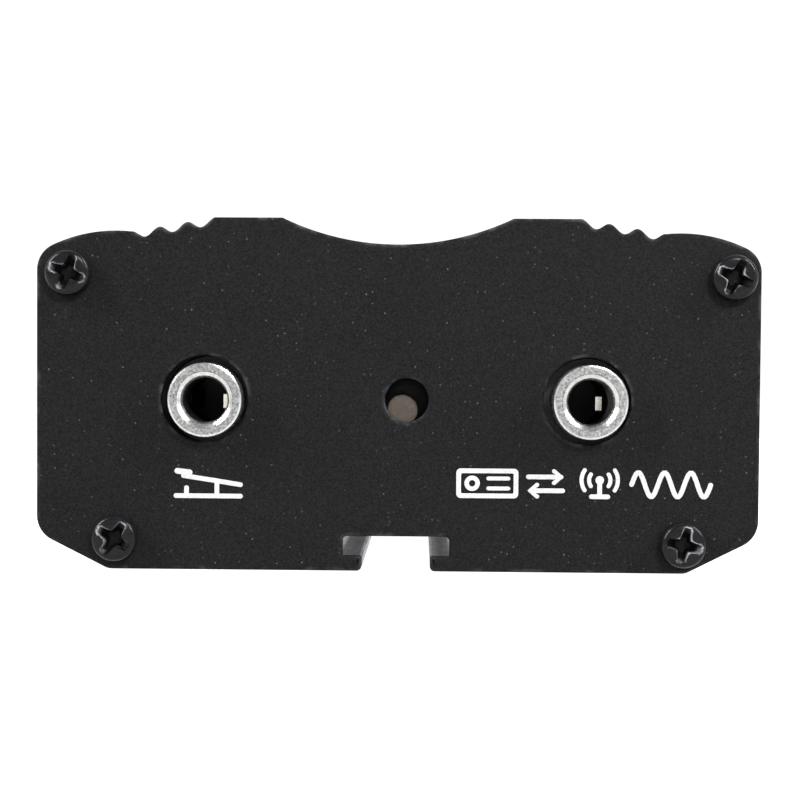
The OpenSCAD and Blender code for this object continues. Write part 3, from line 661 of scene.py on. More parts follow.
# Rolled sheet steel, bright zinc plated, with brushed lines across the key.
ZINC_STEEL = Finish(
    "zinc_plated_steel", "#c3c6c9", "#adb0b4", metallic=1.0, roughness=0.28,
    grain=Grain.ALONG_X, grain_mm=0.1, relief_mm=0.003, patch_mm=2.0, swing=0.1,
)
# Epoxy of the chip, moulded matt.
CHIP_EPOXY = Finish(
    "chip_epoxy", "#1c1c1e", "#232325", roughness=0.62, ior=1.55,
    grain_mm=0.1, relief_mm=0.006, patch_mm=1.5, swing=0.06,
)
# Sintered ceramic of the capacitors and resistors.
CERAMIC = Finish(
    "sintered_ceramic", "#a07a4a", "#8c6a40", roughness=0.5, ior=1.6,
    grain_mm=0.15, relief_mm=0.005, patch_mm=0.7, swing=0.1,
)
# Milled brass, fine cutter lines along the key, tarnished in patches.
MILLED_BRASS = Finish(
    "milled_brass", "#c9a256", "#b18a42", metallic=1.0, roughness=0.3,
    grain=Grain.ALONG_Y, grain_mm=0.12, relief_mm=0.004, patch_mm=3.0, swing=0.1,
    worn="#e2c688",
)
# Milled aluminium, clear anodised: satin, with lines along each lever.
SATIN_ALUMINIUM = Finish(
    "satin_aluminium", "#a9abae", "#96989b", metallic=1.0, roughness=0.36,
    grain=Grain.ALONG_Y, grain_mm=0.1, grain_tone=0.3, relief_mm=0.006, patch_mm=4.0, swing=0.08,
    worn="#eceef0",
)
# Turned nylon: milky, slightly waxy.
NYLON = Finish(
    "turned_nylon", "#e4dfd0", "#d8d2c0", roughness=0.4, ior=1.53,
    grain=Grain.ALONG_X, grain_mm=0.1, relief_mm=0.003, patch_mm=0.8, swing=0.06,
)
# Neodymium magnets with a nickel coat.
MAGNET_NICKEL = Finish(
    "magnet_nickel_coat", "#d2d3d4", "#bfc0c2", metallic=1.0, roughness=0.18,
    grain_mm=0.2, relief_mm=0.002, patch_mm=0.7, swing=0.07,
)
# Fine silver of the contact rivets, dulled by sulphide.
CONTACT_SILVER = Finish(
    "contact_silver", "#e8e6e0", "#b9b4a6", metallic=1.0, roughness=0.25,
    grain_mm=0.1, relief_mm=0.002, patch_mm=0.4, swing=0.1,
)
# Moulded finger pieces, polished by fingers at their edges.
FINGER_PLASTIC = Finish(
    "moulded_finger_plastic", "#131314", "#1a1a1c", roughness=0.42, ior=1.53,
    grain_mm=0.3, relief_mm=0.012, patch_mm=4.0, swing=0.1, worn="#2a2a2c",
)
# White screen ink: thick and matt, thin at its edges.
WHITE_INK = Finish(
    "white_screen_ink", "#eeeeec", "#dcdcda", roughness=0.6, ior=1.5,
    grain_mm=0.12, relief_mm=0.006, patch_mm=0.6, swing=0.08,
)
# Stainless steel of the coin cell, with fine turned lines.
STAINLESS = Finish(
    "stainless_steel", "#cfd0d0", "#bcbdbe", metallic=1.0, roughness=0.22,
    grain=Grain.ALONG_X, grain_mm=0.07, relief_mm=0.002, patch_mm=3.0, swing=0.08,
)
# Matt paper of the studio floor, lit evenly from behind.
STUDIO_PAPER = Finish(
    "studio_paper", "#b4b4b4", "#b0b0b0", roughness=0.9, specular=0.1, grain_mm=0.6,
    relief_mm=0.0, patch_mm=60.0, swing=0.04, glow=1.0,
)


class Finishes:
    """Makes each finish's material once."""

    def __init__(self) -> None:
        """Starts with none made."""
        self._made: dict[str, bpy.types.Material] = {}

    def __getitem__(self, finish: Finish) -> bpy.types.Material:
        """Gives the finish's material."""
        if finish.name not in self._made:
            self._made[finish.name] = finish.build()
        return self._made[finish.name]


FINISHES = Finishes()


# ---------------------------------------------------------------- placing pieces


def show(piece: bpy.types.Object, body: str, slot: str, *nodes: str) -> bpy.types.Object:
    """Puts a finished piece on its body in place of CAD nodes.

    Args:
        piece: The piece.
        body: The CAD body that it moves with.
        slot: The record's material slot, or none; not used.
        *nodes: The CAD nodes that it stands for.

    Returns:
        The piece.
    """
    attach(piece, body)
    if nodes:
        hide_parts(*nodes)
    LOG.info("%s: %d faces on %s", piece.name, len(piece.data.polygons), body)
    return piece


def dress(node: str, finish: Finish) -> None:
    """Gives a carried-over CAD node its finish.

    Args:
        node: The node's name.
        finish: Its finish.
    """
    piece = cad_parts[node]
    material = FINISHES[finish]
    if not piece.material_slots:
        piece.data.materials.append(material)
    for slot in piece.material_slots:
        slot.material = material
    LOG.info("%s: %s", node, finish.name)


def end_loops(node: str, y: float) -> list[list[Flat]]:
    """Traces the outlines of a CAD node's flat face across the key.

    Args:
        node: The node's name.
        y: Where the face lies, in millimetres.

    Returns:
        The closed outlines in X and Z, the largest first.
    """
    draft = bmesh.new()
    draft.from_mesh(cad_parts[node].data)
    bmesh.ops.remove_doubles(draft, verts=draft.verts, dist=MERGE)
    flat = [
        face for face in draft.faces if all(abs(v.co.y / MM - y) < ON_PLANE for v in face.verts)
    ]
    within = set(flat)
    after: dict[int, int] = {}
    for face in flat:
        for side in face.loops:
            if sum(other in within for other in side.edge.link_faces) == 1:
                after[side.vert.index] = side.link_loop_next.vert.index
    draft.verts.ensure_lookup_table()
    loops: list[list[Flat]] = []
    while after:
        at = next(iter(after))
        loop: list[Flat] = []
        while at in after:
            co = draft.verts[at].co
            loop.append((co.x / MM, co.z / MM))
            at = after.pop(at)
        loops.append(loop)
    draft.free()
    return sorted(loops, key=lambda found: -abs(signed_area(found)))


def centre_of(loop: Sequence[Flat]) -> Flat:
    """Gives the mean of a loop's points."""
    return (sum(p[0] for p in loop) / len(loop), sum(p[1] for p in loop) / len(loop))


def refined(loop: Sequence[Flat], steps: int = 72) -> list[Flat]:
    """Turns a coarse circle into a fine one, and leaves any other outline alone."""
    middle = centre_of(loop)
    reaches = [math.dist(p, middle) for p in loop]
    if len(loop) < CIRCLE_POINTS or max(reaches) - min(reaches) > CIRCLE_SPREAD:
        return list(loop)
    return circle(middle, max(reaches), steps)


class CopyTree:
    """A Geometry Nodes tree that sets copies of one piece on the points of a mesh."""

    def __init__(self) -> None:
        """Builds the tree, with the piece and its two finishes as inputs."""
        tree = bpy.data.node_groups.new("copies_on_points", "GeometryNodeTree")
        face = tree.interface
        face.new_socket("Points", in_out="INPUT", socket_type="NodeSocketGeometry")
        for name, kind in (
            ("Piece", "NodeSocketObject"), ("Finish", "NodeSocketMaterial"),
            ("Inner Finish", "NodeSocketMaterial"),
        ):
            face.new_socket(name, in_out="INPUT", socket_type=kind)
        face.new_socket("Copies", in_out="OUTPUT", socket_type="NodeSocketGeometry")
        given = add_node(tree, "NodeGroupInput").outputs
        piece = add_node(tree, "GeometryNodeObjectInfo", {"Object": given["Piece"]})
        turn = add_node(
            tree, "GeometryNodeInputNamedAttribute", {"Name": "turn"}, data_type="FLOAT_VECTOR"
        )
        copies = add_node(
            tree,
            "GeometryNodeInstanceOnPoints",
            {
                "Points": given["Points"],
                "Instance": piece.outputs["Geometry"],
                "Rotation": turn.outputs["Attribute"],
            },
        )
        real = add_node(
            tree, "GeometryNodeRealizeInstances", {"Geometry": copies.outputs["Instances"]}
        )
        dressed = add_node(
            tree,
            "GeometryNodeSetMaterial",
            {"Geometry": real.outputs["Geometry"], "Material": given["Finish"]},
        )
        inner = add_node(
            tree, "GeometryNodeInputNamedAttribute", {"Name": "inner"}, data_type="BOOLEAN"
        )
        both = add_node(
            tree,
            "GeometryNodeSetMaterial",
            {
                "Geometry": dressed.outputs["Geometry"],
                "Selection": inner.outputs["Attribute"],
                "Material": given["Inner Finish"],
            },
        )
        add_node(tree, "NodeGroupOutput", {"Copies": both.outputs["Geometry"]})
        self.tree = tree
        self.socket = {
            item.name: item.identifier
            for item in face.items_tree
            if item.item_type == "SOCKET" and item.in_out == "INPUT"
        }

    def lay(
        self,
        name: str,
        pattern: Solid,
        finish: Finish,
        spots: Sequence[Point],
        turns: Sequence[Point],
        inner: Finish | None = None,
    ) -> bpy.types.Object:
        """Lays copies of a solid and turns them into one plain mesh.

        Args:
            name: The new piece's name.
            pattern: The solid to copy, about its own origin.
            finish: The copies' finish.
            spots: Where each copy stands, in millimetres.
            turns: How each is turned, as three angles in radians.
            inner: The finish of the faces that the solid numbers 1.

        Returns:
            The piece.
        """
        materials = [FINISHES[finish], FINISHES[inner or finish]]
        original = pattern.build(f"{name}_pattern", materials)
        carrier = bpy.data.meshes.new(f"{name}_points")
        carrier.from_pydata([tuple(c * MM for c in spot) for spot in spots], [], [])
        turn = carrier.attributes.new("turn", "FLOAT_VECTOR", "POINT")
        turn.data.foreach_set("vector", [angle for angles in turns for angle in angles])
        holder = bpy.data.objects.new(f"{name}_holder", carrier)
        bpy.context.scene.collection.objects.link(holder)
        modifier = holder.modifiers.new("copies", "NODES")
        modifier.node_group = self.tree
        for key, value in zip(("Piece", "Finish", "Inner Finish"), (original, *materials)):
            modifier[self.socket[key]] = value
        whole = bpy.context.evaluated_depsgraph_get()
        mesh = bpy.data.meshes.new_from_object(holder.evaluated_get(whole))
        mesh.name = name
        holder.modifiers.remove(modifier)
        for spare in (holder, original):
            data = spare.data
            bpy.data.objects.remove(spare)
            bpy.data.meshes.remove(data)
        piece = bpy.data.objects.new(name, mesh)
        bpy.context.scene.collection.objects.link(piece)
        return piece


# ---------------------------------------------------------------- case


@dataclass(frozen=True)
class CaseProfile:
    """The outline that the case and both end plates share, in X and Z."""

    width: float = 58.0
    height: float = 28.3
    dish_half: float = 9.25
    dish_depth: float = 2.1
    grooves: int = 3
    groove_pitch: float = 2.25
    groove_depth: float = 0.6
    shoulder_drop: float = 1.1
    shoulder_radius: float = 12.0
    shoulder_reach: float = 4.2
    shoulder_lead: float = 1.2
    corner_radius: float = 2.2
    bevel_width: float = 5.8
    bevel_height: float = 2.9
    foot_radius: float = 1.5
    slot_width: float = 8.6
    slot_neck: float = 5.5
    slot_height: float = 2.8
    lip: float = 1.15
    lip_radius: float = 0.4
    slot_corner: float = 0.02
    dish_steps: int = 28
    groove_steps: int = 18

    def outline(self) -> list[Flat]:
        """Gives the whole outline."""
        right = self._top() + self._side_and_foot()
        left = [(-x, z) for x, z in reversed(right) if x > ON_PLANE]
        return right + left

    def _top(self) -> list[Flat]:
        """Gives the right half of the dish, the flat, the grooves and the shoulder."""
        radius = (self.dish_half**2 + self.dish_depth**2) / (2 * self.dish_depth)
        centre = (0.0, self.height - self.dish_depth + radius)
        sweep = math.degrees(math.asin(self.dish_half / radius))
        points = arc(centre, radius, 270, sweep, self.dish_steps)
        shoulder = self._shoulder()
        end_x = shoulder[0] - self.shoulder_lead
        end_z = shoulder[1] + math.sqrt(self.shoulder_radius**2 - self.shoulder_lead**2)
        start_x = end_x - self.grooves * self.groove_pitch
        count = self.grooves * self.groove_steps
        for i in range(count + 1):
            t = i / count
            dip = self.groove_depth * math.sin(math.pi * i / self.groove_steps) ** 2
            ridge_z = self.height + t * (end_z - self.height)
            points.append((start_x + t * (end_x - start_x), ridge_z - dip))
        lead = 90 + math.degrees(math.asin(self.shoulder_lead / self.shoulder_radius))
        join = self._join()
        points += arc(shoulder, self.shoulder_radius, lead, join - lead, 20)[1:]
        points += arc(self._corner(), self.corner_radius, join, -join, 14)[1:]
        return points

    def _shoulder(self) -> Flat:
        """Gives the centre of the shoulder's curve."""
        return (
            self.width / 2 - self.corner_radius - self.shoulder_reach,
            self.height - self.shoulder_drop - self.shoulder_radius,
        )

    def _corner(self) -> Flat:
        """Gives the centre of the upper corner, where an end screw stands."""
        rise = math.sqrt(
            (self.shoulder_radius - self.corner_radius) ** 2 - self.shoulder_reach**2
        )
        return (self.width / 2 - self.corner_radius, self._shoulder()[1] + rise)

    def _join(self) -> float:
        """Gives the angle at which the shoulder runs into the corner."""
        at, to = self._shoulder(), self._corner()
        return math.degrees(math.atan2(to[1] - at[1], to[0] - at[0]))

    def _side_and_foot(self) -> list[Flat]:
        """Gives the right side, the bevel, the foot and the slot under the case."""
        half = self.width / 2
        path = [
            (half, self._corner()[1], 0.0),
            (half, self.bevel_height, self.corner_radius),
            (half - self.bevel_width, 0.0, self.foot_radius),
            (self.slot_neck / 2, 0.0, self.lip_radius),
            (self.slot_neck / 2, self.lip, self.lip_radius / 2),
            (self.slot_width / 2, self.lip, self.slot_corner),
            (self.slot_width / 2, self.slot_height, self.lip_radius),
            (0.0, self.slot_height, 0.0),
        ]
        return rounded_path(path, 8) + [(0.0, self.slot_height)]


@dataclass
class Case:
    """The extruded shell and its two end plates."""

    profile: CaseProfile
    plate_edge: float = 0.14
    shell_edge: float = 0.1
    # The height above which the faces in the slot take the painted-light finish.
    painted_light_from: float = 0.4
    margin: float = 0.01

    def build(self) -> None:
        """Builds the shell and both plates from the frame's own openings."""
        low, high = node_box("body_shell")
        self._slab("body_shell", "case_shell", BLACK_EXTRUSION, low[1], high[1], self.shell_edge)
        for node, name in (("rear_plate", "rear_end_plate"), ("front_plate", "front_end_plate")):
            low, high = node_box(node)
            self._slab(node, name, BLACK_ANODISED, low[1], high[1], self.plate_edge)

    def _slab(
        self, node: str, name: str, finish: Finish, low: float, high: float, edge: float
    ) -> None:
        """Builds one piece of the case, with the node's holes.

        Args:
            node: The CAD node that gives the holes.
            name: The new piece's name.
            finish: Its finish.
            low: Its rear end.
            high: Its front end.
            edge: The radius of its edges.
        """
        holes = [refined(loop) for loop in end_loops(node, low)[1:]]
        solid = Solid()
        solid.sweep([self.profile.outline(), *holes], Axis.Y, low, high, edge)
        if node == "body_shell":
            self._paint_slot_light(solid)
        finishes = [FINISHES[finish], FINISHES[SLOT_PAINTED_LIGHT]]
        show(solid.build(name, finishes, 28), CASE, "black_anodised", node)

    def _paint_slot_light(self, solid: Solid) -> None:
        """Gives the faces inside the slot the bright metal finish that paints in the light on the
        slot walls.
        """
        half = self.profile.slot_width / 2 + self.margin
        roof = self.profile.slot_height + self.margin
        for i, face in enumerate(solid.faces):
            corners = [solid.points[p] for p in face]
            if all(abs(x) < half and self.painted_light_from < z < roof for x, _, z in corners):
                solid.finish_of[i] = 1


# ---------------------------------------------------------------- screws


# The rings of points on a head's top, as shares of its radius, and their gap to the recess.
TOP_RINGS = (0.3, 0.45, 0.6, 0.72, 0.8, 0.87, 0.93, 0.97, 1.0)
TOP_GAP = 0.035
# The recess from its lip down: its share of the full size, how far down it is, and its wear.
RECESS_STEPS = ((1.0, 0.0, 1.0), (0.95, 0.08, 0.5), (0.7, 0.6, 0.0), (0.42, 1.0, 0.0))


@dataclass(frozen=True)
class CrossScrew:
    """A small screw with a tapered cross recess, its head towards -Y and its seat at Y 0."""

    head_radius: float = 1.85
    head_height: float = 1.2
    shank_radius: float = 0.97
    length: float = 6.0
    reach: float = 0.78
    tip: float = 0.16
    root: float = 0.25
    depth: float = 1.1
    rounding: float = 0.42
    crown: float = 0.05
    pitch: float = 0.4
    thread: float = 0.16
    sunk: bool = False
    sides: int = 48

    def solid(self) -> Solid:
        """Builds the screw."""
        solid = Solid()
        self._add_top(solid)
        self._add_recess(solid)
        self._add_body(solid)
        return solid

    def _height(self, radius: float) -> float:
        """Gives the height of the head's top at a radius."""
        if self.sunk:
            return 0.0
        rounding = self.head_height * self.rounding
        flat = self.head_radius - rounding
        height = self.head_height - self.crown * (radius / self.head_radius) ** 2
        if radius <= flat:
            return height
        return height - rounding + math.sqrt(max(0.0, rounding**2 - (radius - flat) ** 2))

    def _cross(self, scale: float) -> list[Flat]:
        """Gives the recess's outline at a share of its size at the top."""
        reach = self.head_radius * self.reach * scale
        tip = self.head_radius * self.tip * (0.35 + 0.65 * scale)
        root = self.head_radius * self.root * (0.3 + 0.7 * scale)
        path: list[Point] = []
        for quarter in range(4):
            angle = math.pi / 2 * quarter
            cos, sin = math.cos(angle), math.sin(angle)
            for u, v, radius in ((root, -root, 0.16), (reach, -tip, 0.17), (reach, tip, 0.17)):
                path.append((u * cos - v * sin, u * sin + v * cos, radius * scale))
        return rounded(path, 4)

    def _add_top(self, solid: Solid) -> None:
        """Adds the head's top, open at the recess."""
        cross = self._cross(1.0)
        corners = [Vector(p) for p in cross]
        fan = tessellate_polygon([[Vector((*p, 0)) for p in cross]])

        def in_cross(spot: Vector) -> bool:
            """Tells whether a spot lies over the recess."""
            return any(
                intersect_point_tri_2d(spot, *(corners[i] for i in triangle)) for triangle in fan
            )

        points = list(corners)
        count = len(points)
        edges = [(i, (i + 1) % count) for i in range(count)]
        for share in TOP_RINGS:
            for spot in map(Vector, circle((0, 0), self.head_radius * share, self.sides)):
                near = min((spot - c).length for c in corners) < TOP_GAP * self.head_radius
                if share == 1.0 or not (near or in_cross(spot)):
                    points.append(spot)
        rim = len(points) - self.sides
        edges += [(rim + i, rim + (i + 1) % self.sides) for i in range(self.sides)]
        found = delaunay_2d_cdt(points, edges, [], 1, 1e-5)
        verts, faces = found[0], found[2]
        kept = [
            face
            for face in faces
            if not in_cross(sum((verts[i] for i in face), Vector((0, 0))) / len(face))
        ]
        wear = [1.0 if min((v - c).length for c in corners) < 1e-4 else 0.0 for v in verts]
        solid.add([(v.x, -self._height(v.length), v.y) for v in verts], kept, 0, wear)

    def _add_recess(self, solid: Solid) -> None:
        """Adds the recess's tapered walls and its floor."""
        rim = self._cross(1.0)
        count = len(rim)
        floor = self._height(0.0) - self.depth
        points: list[Point] = []
        wear: list[float] = []
        for scale, sink, mark in RECESS_STEPS:
            for (x, z), at in zip(self._cross(scale), rim):
                top = self._height(math.hypot(*at))
                points.append((x, -(top + (floor - top) * sink), z))
                wear.append(mark)
        faces = [
            (r * count + i, r * count + (i + 1) % count,
             (r + 1) * count + (i + 1) % count, (r + 1) * count + i)
            for r in range(len(RECESS_STEPS) - 1)
            for i in range(count)
        ]
        last = (len(RECESS_STEPS) - 1) * count
        points.append((0.0, -(floor - 0.08), 0.0))
        wear.append(0.0)
        faces += [(last + i, last + (i + 1) % count, len(points) - 1) for i in range(count)]
        # Finish 1 gives the recess the near-black painted-shade finish.
        solid.add(points, faces, 1, wear)

    def _add_body(self, solid: Solid) -> None:
        """Adds the head's side and underside and the threaded shank, down to a closed tip."""
        radius = self.head_radius
        under = radius - self.shank_radius if self.sunk else 0.0
        profile: list[Flat] = [(radius, -self._height(radius))]
        if not self.sunk:
            profile += [(radius, -0.05), (radius - 0.05, 0.0)]
        shank = self.shank_radius
        profile.append((shank, under))
        for i in range(int((self.length - under - 0.6) / self.pitch)):
            at = under + 0.3 + i * self.pitch
            profile += [(shank, at), (shank - self.thread, at + self.pitch / 2)]
        profile += [(shank - 0.2, self.length), (0.0, self.length)]
        solid.turn(profile, Axis.Y, (0.0, 0.0), self.sides, closed=False)


@dataclass
class EndScrews:
    """The four screws of each end plate, each stopped at its own angle."""

    copies: CopyTree
    screw: CrossScrew = CrossScrew()
    rear_turns: tuple[float, ...] = (33.0, 21.0, 12.0, 24.0)
    front_turns: tuple[float, ...] = (12.0, 40.0, 55.0, 71.0)
    rear_play: tuple[Flat, ...] = ((0.12, 0.0), (0.06, 0.1), (0.2, -0.15), (0.3, 0.0))

    def build(self) -> None:
        """Builds both sets where the frame has them."""
        for node, name, turns, rear in (
            ("rear_plate_screws", "rear_end_screws", self.rear_turns, True),
            ("front_plate_screws", "front_end_screws", self.front_turns, False),
        ):
            low, high = node_box(node)
            plate_low, plate_high = node_box("rear_plate" if rear else "front_plate")
            seat = plate_low[1] if rear else plate_high[1]
            play = self.rear_play if rear else ((0.0, 0.0),) * 4
            spots = [
                (x + u, seat, z + v) for (x, z), (u, v) in zip(self._spots(low, high), play)
            ]
            angles = [(0.0, math.radians(turn), 0.0 if rear else math.pi) for turn in turns]
            piece = self.copies.lay(
                name, self.screw.solid(), BLACK_OXIDE, spots, angles, inner=SHADED_RECESS
            )
            show(piece, CASE, "black_screws", node)

    def _spots(self, low: Point, high: Point) -> list[Flat]:
        """Gives the four screws' axes: low and high on the left, then on the right."""
        loops = end_loops("rear_plate", node_box("rear_plate")[0][1])
        middles = [centre_of(refined(loop)) for loop in loops[1:]]
        corners = [(low[0], low[2]), (low[0], high[2]), (high[0], low[2]), (high[0], high[2])]
        return [min(middles, key=lambda spot: math.dist(spot, at)) for at in corners]


# ---------------------------------------------------------------- sockets


@dataclass
class Socket:
    """One 3.5 mm socket: its plated barrel, its moulded body and its two contacts."""

    prefix: str
    bore: float = 1.8
    lead_in: float = 0.5
    barrel: float = 3.0
    rim: float = 0.2
    flange: float = 3.6
    flange_length: float = 0.8
    groove_at: float = 2.1
    groove: float = 0.12
    pin: float = 0.35
    float_mm: Flat = (0.16, -0.07)
    tab_low: Flat = (0.86, -0.75)
    tab_high: Flat = (1.5, 0.5)
    tab_depth: tuple[float, float] = (1.0, 1.22)

    def build(self) -> None:
        """Turns the barrel and dresses the body and contacts."""
        node = f"{self.prefix}_barrel"
        low, high = node_box(node)
        x = (low[0] + high[0]) / 2 + self.float_mm[0]
        z = high[2] - self.flange + self.float_mm[1]
        nose, face = low[1], high[1]
        start, floor_r = nose + self.groove_at, self.barrel - self.groove
        profile = [
            (self.bore, nose + self.lead_in), (self.bore + 0.14, nose + self.lead_in * 0.55),
            (self.bore + 0.42, nose + 0.08), (self.bore + self.lead_in, nose),
            (self.barrel - self.rim, nose), (self.barrel - 0.06, nose + 0.06),
            (self.barrel, nose + self.rim), (self.barrel, start),
            (floor_r, start + 0.1), (floor_r, start + 0.3),
            (self.barrel, start + 0.4), (self.barrel, face - self.flange_length),
            (self.flange - 0.1, face - self.flange_length),
            (self.flange, face - self.flange_length + 0.1), (self.flange, face),
            (self.bore, face),
        ]
        solid = Solid()
        # Finish 2, black plastic on the flange and down the bore, is painted shade: it keeps the
        # bore and the gap round the barrel dark.
        solid.turn(profile, Axis.Y, (x, z), 112, finishes=[1, 0, 1, 1] + [0] * 7 + [2] * 5)
        floor = node_box("circuit_board")[1][2]
        solid.points = [(px, py, max(pz, floor)) for px, py, pz in solid.points]
        solid.turn(
            [(0.0, low[2]), (self.pin - 0.1, low[2]), (self.pin, low[2] + 0.1),
             (self.pin, floor + 0.4), (0.0, floor + 0.4)],
            Axis.Z, (x, face - self.flange_length / 2), 24, closed=False,
        )
        finishes = [FINISHES[each] for each in (BRIGHT_NICKEL, SCUFFED_NICKEL, BLACK_PLASTIC)]
        show(solid.build(f"{self.prefix}_turned_barrel", finishes, 20), CASE, "nickel", node)
        self._tab(x, z, face)
        dress(f"{self.prefix}_body", BLACK_PLASTIC)
        dress(f"{self.prefix}_contacts", TARNISHED_BRONZE)

    def _tab(self, x: float, z: float, face: float) -> None:
        """Lays the flat tab that the ring's contact turns towards the plug."""
        low = (x + self.tab_low[0], z + self.tab_low[1])
        high = (x + self.tab_high[0], z + self.tab_high[1])
        outline = rounded_box(low, high, 0.12, 5)
        tab = Solid()
        front, back = (face + depth for depth in self.tab_depth)
        tab.sweep([outline], Axis.Y, front, back, 0.04, 0.04, 2)
        show(tab.build(f"{self.prefix}_leaf_tab", [FINISHES[TINNED_BRONZE]]), CASE, "")


@dataclass
class SocketMarks:
    """The white signs under the sockets: a lever for the key, a radio for the other."""

    ink: float = 0.03
    step: float = 0.0015
    line: float = 0.38
    key_at: Flat = (-15.12, 6.94)
    radio_at: Flat = (15.09, 7.13)

    def build(self) -> None:
        """Builds both signs on the rear plate's face, each stroke a shade thicker."""
        face = node_box("rear_plate")[0][1]
        for name, (x, z), shapes in (
            ("key_sign", self.key_at, self._lever_sign()),
            ("transceiver_sign", self.radio_at, self._radio_sign()),
        ):
            solid = Solid()
            for i, loops in enumerate(shapes):
                placed = [[(x + u, z + v) for u, v in loop] for loop in loops]
                top = face - self.ink - self.step * i
                solid.sweep(placed, Axis.Y, top, face + 0.01, 0.01, skirt=0.02, rounds=1)
            show(solid.build(name, [FINISHES[WHITE_INK]]), CASE, "")

    def _stroke(self, path: Sequence[Flat], width: float = 0.0) -> list[list[Flat]]:
        """Gives the outline of a line drawn along a path with round ends."""
        half = (width or self.line) / 2
        left, right = [], []
        for i, at in enumerate(path):
            before, after = path[max(0, i - 1)], path[min(len(path) - 1, i + 1)]
            along = (Vector(after) - Vector(before)).normalized()
            side = Vector((-along.y, along.x)) * half
            left.append((at[0] + side.x, at[1] + side.y))
            right.append((at[0] - side.x, at[1] - side.y))
        first = math.degrees(math.atan2(right[0][1] - path[0][1], right[0][0] - path[0][0]))
        last = math.degrees(math.atan2(left[-1][1] - path[-1][1], left[-1][0] - path[-1][0]))
        cap_end = arc(path[-1], half, last, -180, 6)[1:-1]
        cap_start = arc(path[0], half, first, -180, 6)[1:-1]
        return [left + cap_end + list(reversed(right)) + cap_start]

    def _frame(self, x0: float, z0: float, x1: float, z1: float) -> list[list[Flat]]:
        """Gives the outline of a rounded box drawn as a line."""
        t = self.line
        inner = rounded_box((x0 + t, z0 + t), (x1 - t, z1 - t), 0.12, 5)
        return [rounded_box((x0, z0), (x1, z1), 0.35, 5), inner]

    def _lever_sign(self) -> list[list[list[Flat]]]:
        """Gives the sign of a key: a base, a tilted lever with its knob, and its contact."""
        return [
            self._stroke([(-2.6, -1.0), (2.6, -1.0)]),
            self._stroke([(-2.0, 0.62), (0.3, 0.28), (2.6, -0.08)]),
            self._stroke([(0.7, -0.95), (0.7, 0.15)]),
            self._stroke([(-1.75, -0.95), (-1.75, -0.35)]),
            self._stroke([(-2.5, 1.0), (-1.5, 0.88)], 0.46),
        ]

    def _radio_sign(self) -> list[list[list[Flat]]]:
        """Gives the sign of a transceiver: its front, both ways, its mast and its wave."""
        shapes = [
            self._frame(-10.27, -1.19, -5.3, 1.19),
            [circle((-9.0, 0.0), 0.62, 32), circle((-9.0, 0.0), 0.26, 24)],
            self._stroke([(-7.7, 0.4), (-6.1, 0.4)], 0.32),
            self._stroke([(-7.7, -0.4), (-6.1, -0.4)], 0.32),
            self._stroke([(-4.5, 0.55), (-1.9, 0.55)]),
            self._stroke([(-2.45, 1.02), (-1.85, 0.55), (-2.45, 0.08)], 0.34),
            self._stroke([(-4.3, -0.55), (-1.75, -0.55)]),
            self._stroke([(-3.8, -0.08), (-4.4, -0.55), (-3.8, -1.02)], 0.34),
            self._stroke([(1.2, -1.0), (1.2, 0.2)]),
            self._stroke([(0.55, -1.0), (1.85, -1.0)]),
            [circle((1.2, 0.32), 0.34, 28)],
        ]
        for middle in (180, 0):
            for reach in (0.85, 1.45):
                ring = arc((1.2, 0.32), reach, middle - 34, 68, 12)
                shapes.append(self._stroke(ring, 0.32))
        start, length, height, waves, steps = 3.75, 6.3, 0.98, 3, 54
        wave = [
            (start + length * t / steps, height * math.sin(math.pi * 2 * waves * t / steps))
            for t in range(steps + 1)
        ]
        return [*shapes, self._stroke(wave)]


# ---------------------------------------------------------------- set button


@dataclass
class SetButton:
    """The recessed switch behind the middle hole, whose beige nose stands off centre."""

    stem: float = 2.0
    flange: float = 2.4
    flange_length: float = 0.7
    nose: float = 1.25
    nose_step: float = 0.55
    nose_shift: Flat = (-0.35, -0.78)

    def build(self) -> None:
        """Turns the stem and dresses the switch round it."""
        low, high = node_box("set_button_stem")
        x, z = (low[0] + high[0]) / 2, (low[2] + high[2]) / 2
        face, back = low[1], high[1]
        shoulder = back - self.flange_length
        step = face + self.nose_step
        profile = [
            (0.0, step + 0.02), (self.stem * 0.6, step), (self.stem - 0.2, step),
            (self.stem - 0.06, step + 0.06), (self.stem, step + 0.2),
            (self.stem, shoulder), (self.flange - 0.05, shoulder),
            (self.flange, shoulder + 0.05), (self.flange, back), (0.0, back),
        ]
        nose = [
            (0.0, face + 0.02), (self.nose * 0.6, face), (self.nose - 0.16, face),
            (self.nose - 0.05, face + 0.05), (self.nose, face + 0.18),
            (self.nose, step + 0.1), (0.0, step + 0.1),
        ]
        solid = Solid()
        # The base and flange take the near-black finish, painted shade that darkens the hole round
        # the beige nose.
        solid.turn(profile, Axis.Y, (x, z), 72, closed=False, finishes=[1] * len(profile))
        nose_at = (x + self.nose_shift[0], z + self.nose_shift[1])
        solid.turn(nose, Axis.Y, nose_at, 56, closed=False)
        finishes = [FINISHES[BEIGE_PLASTIC], FINISHES[SHADED_RECESS]]
        piece = solid.build("button_stem", finishes, 30)
        show(piece, BUTTON, "beige_plastic", "set_button_stem")
        dress("set_button_case", BLACK_PLASTIC)
        dress("set_button_cover", ZINC_STEEL)


# ---------------------------------------------------------------- levers


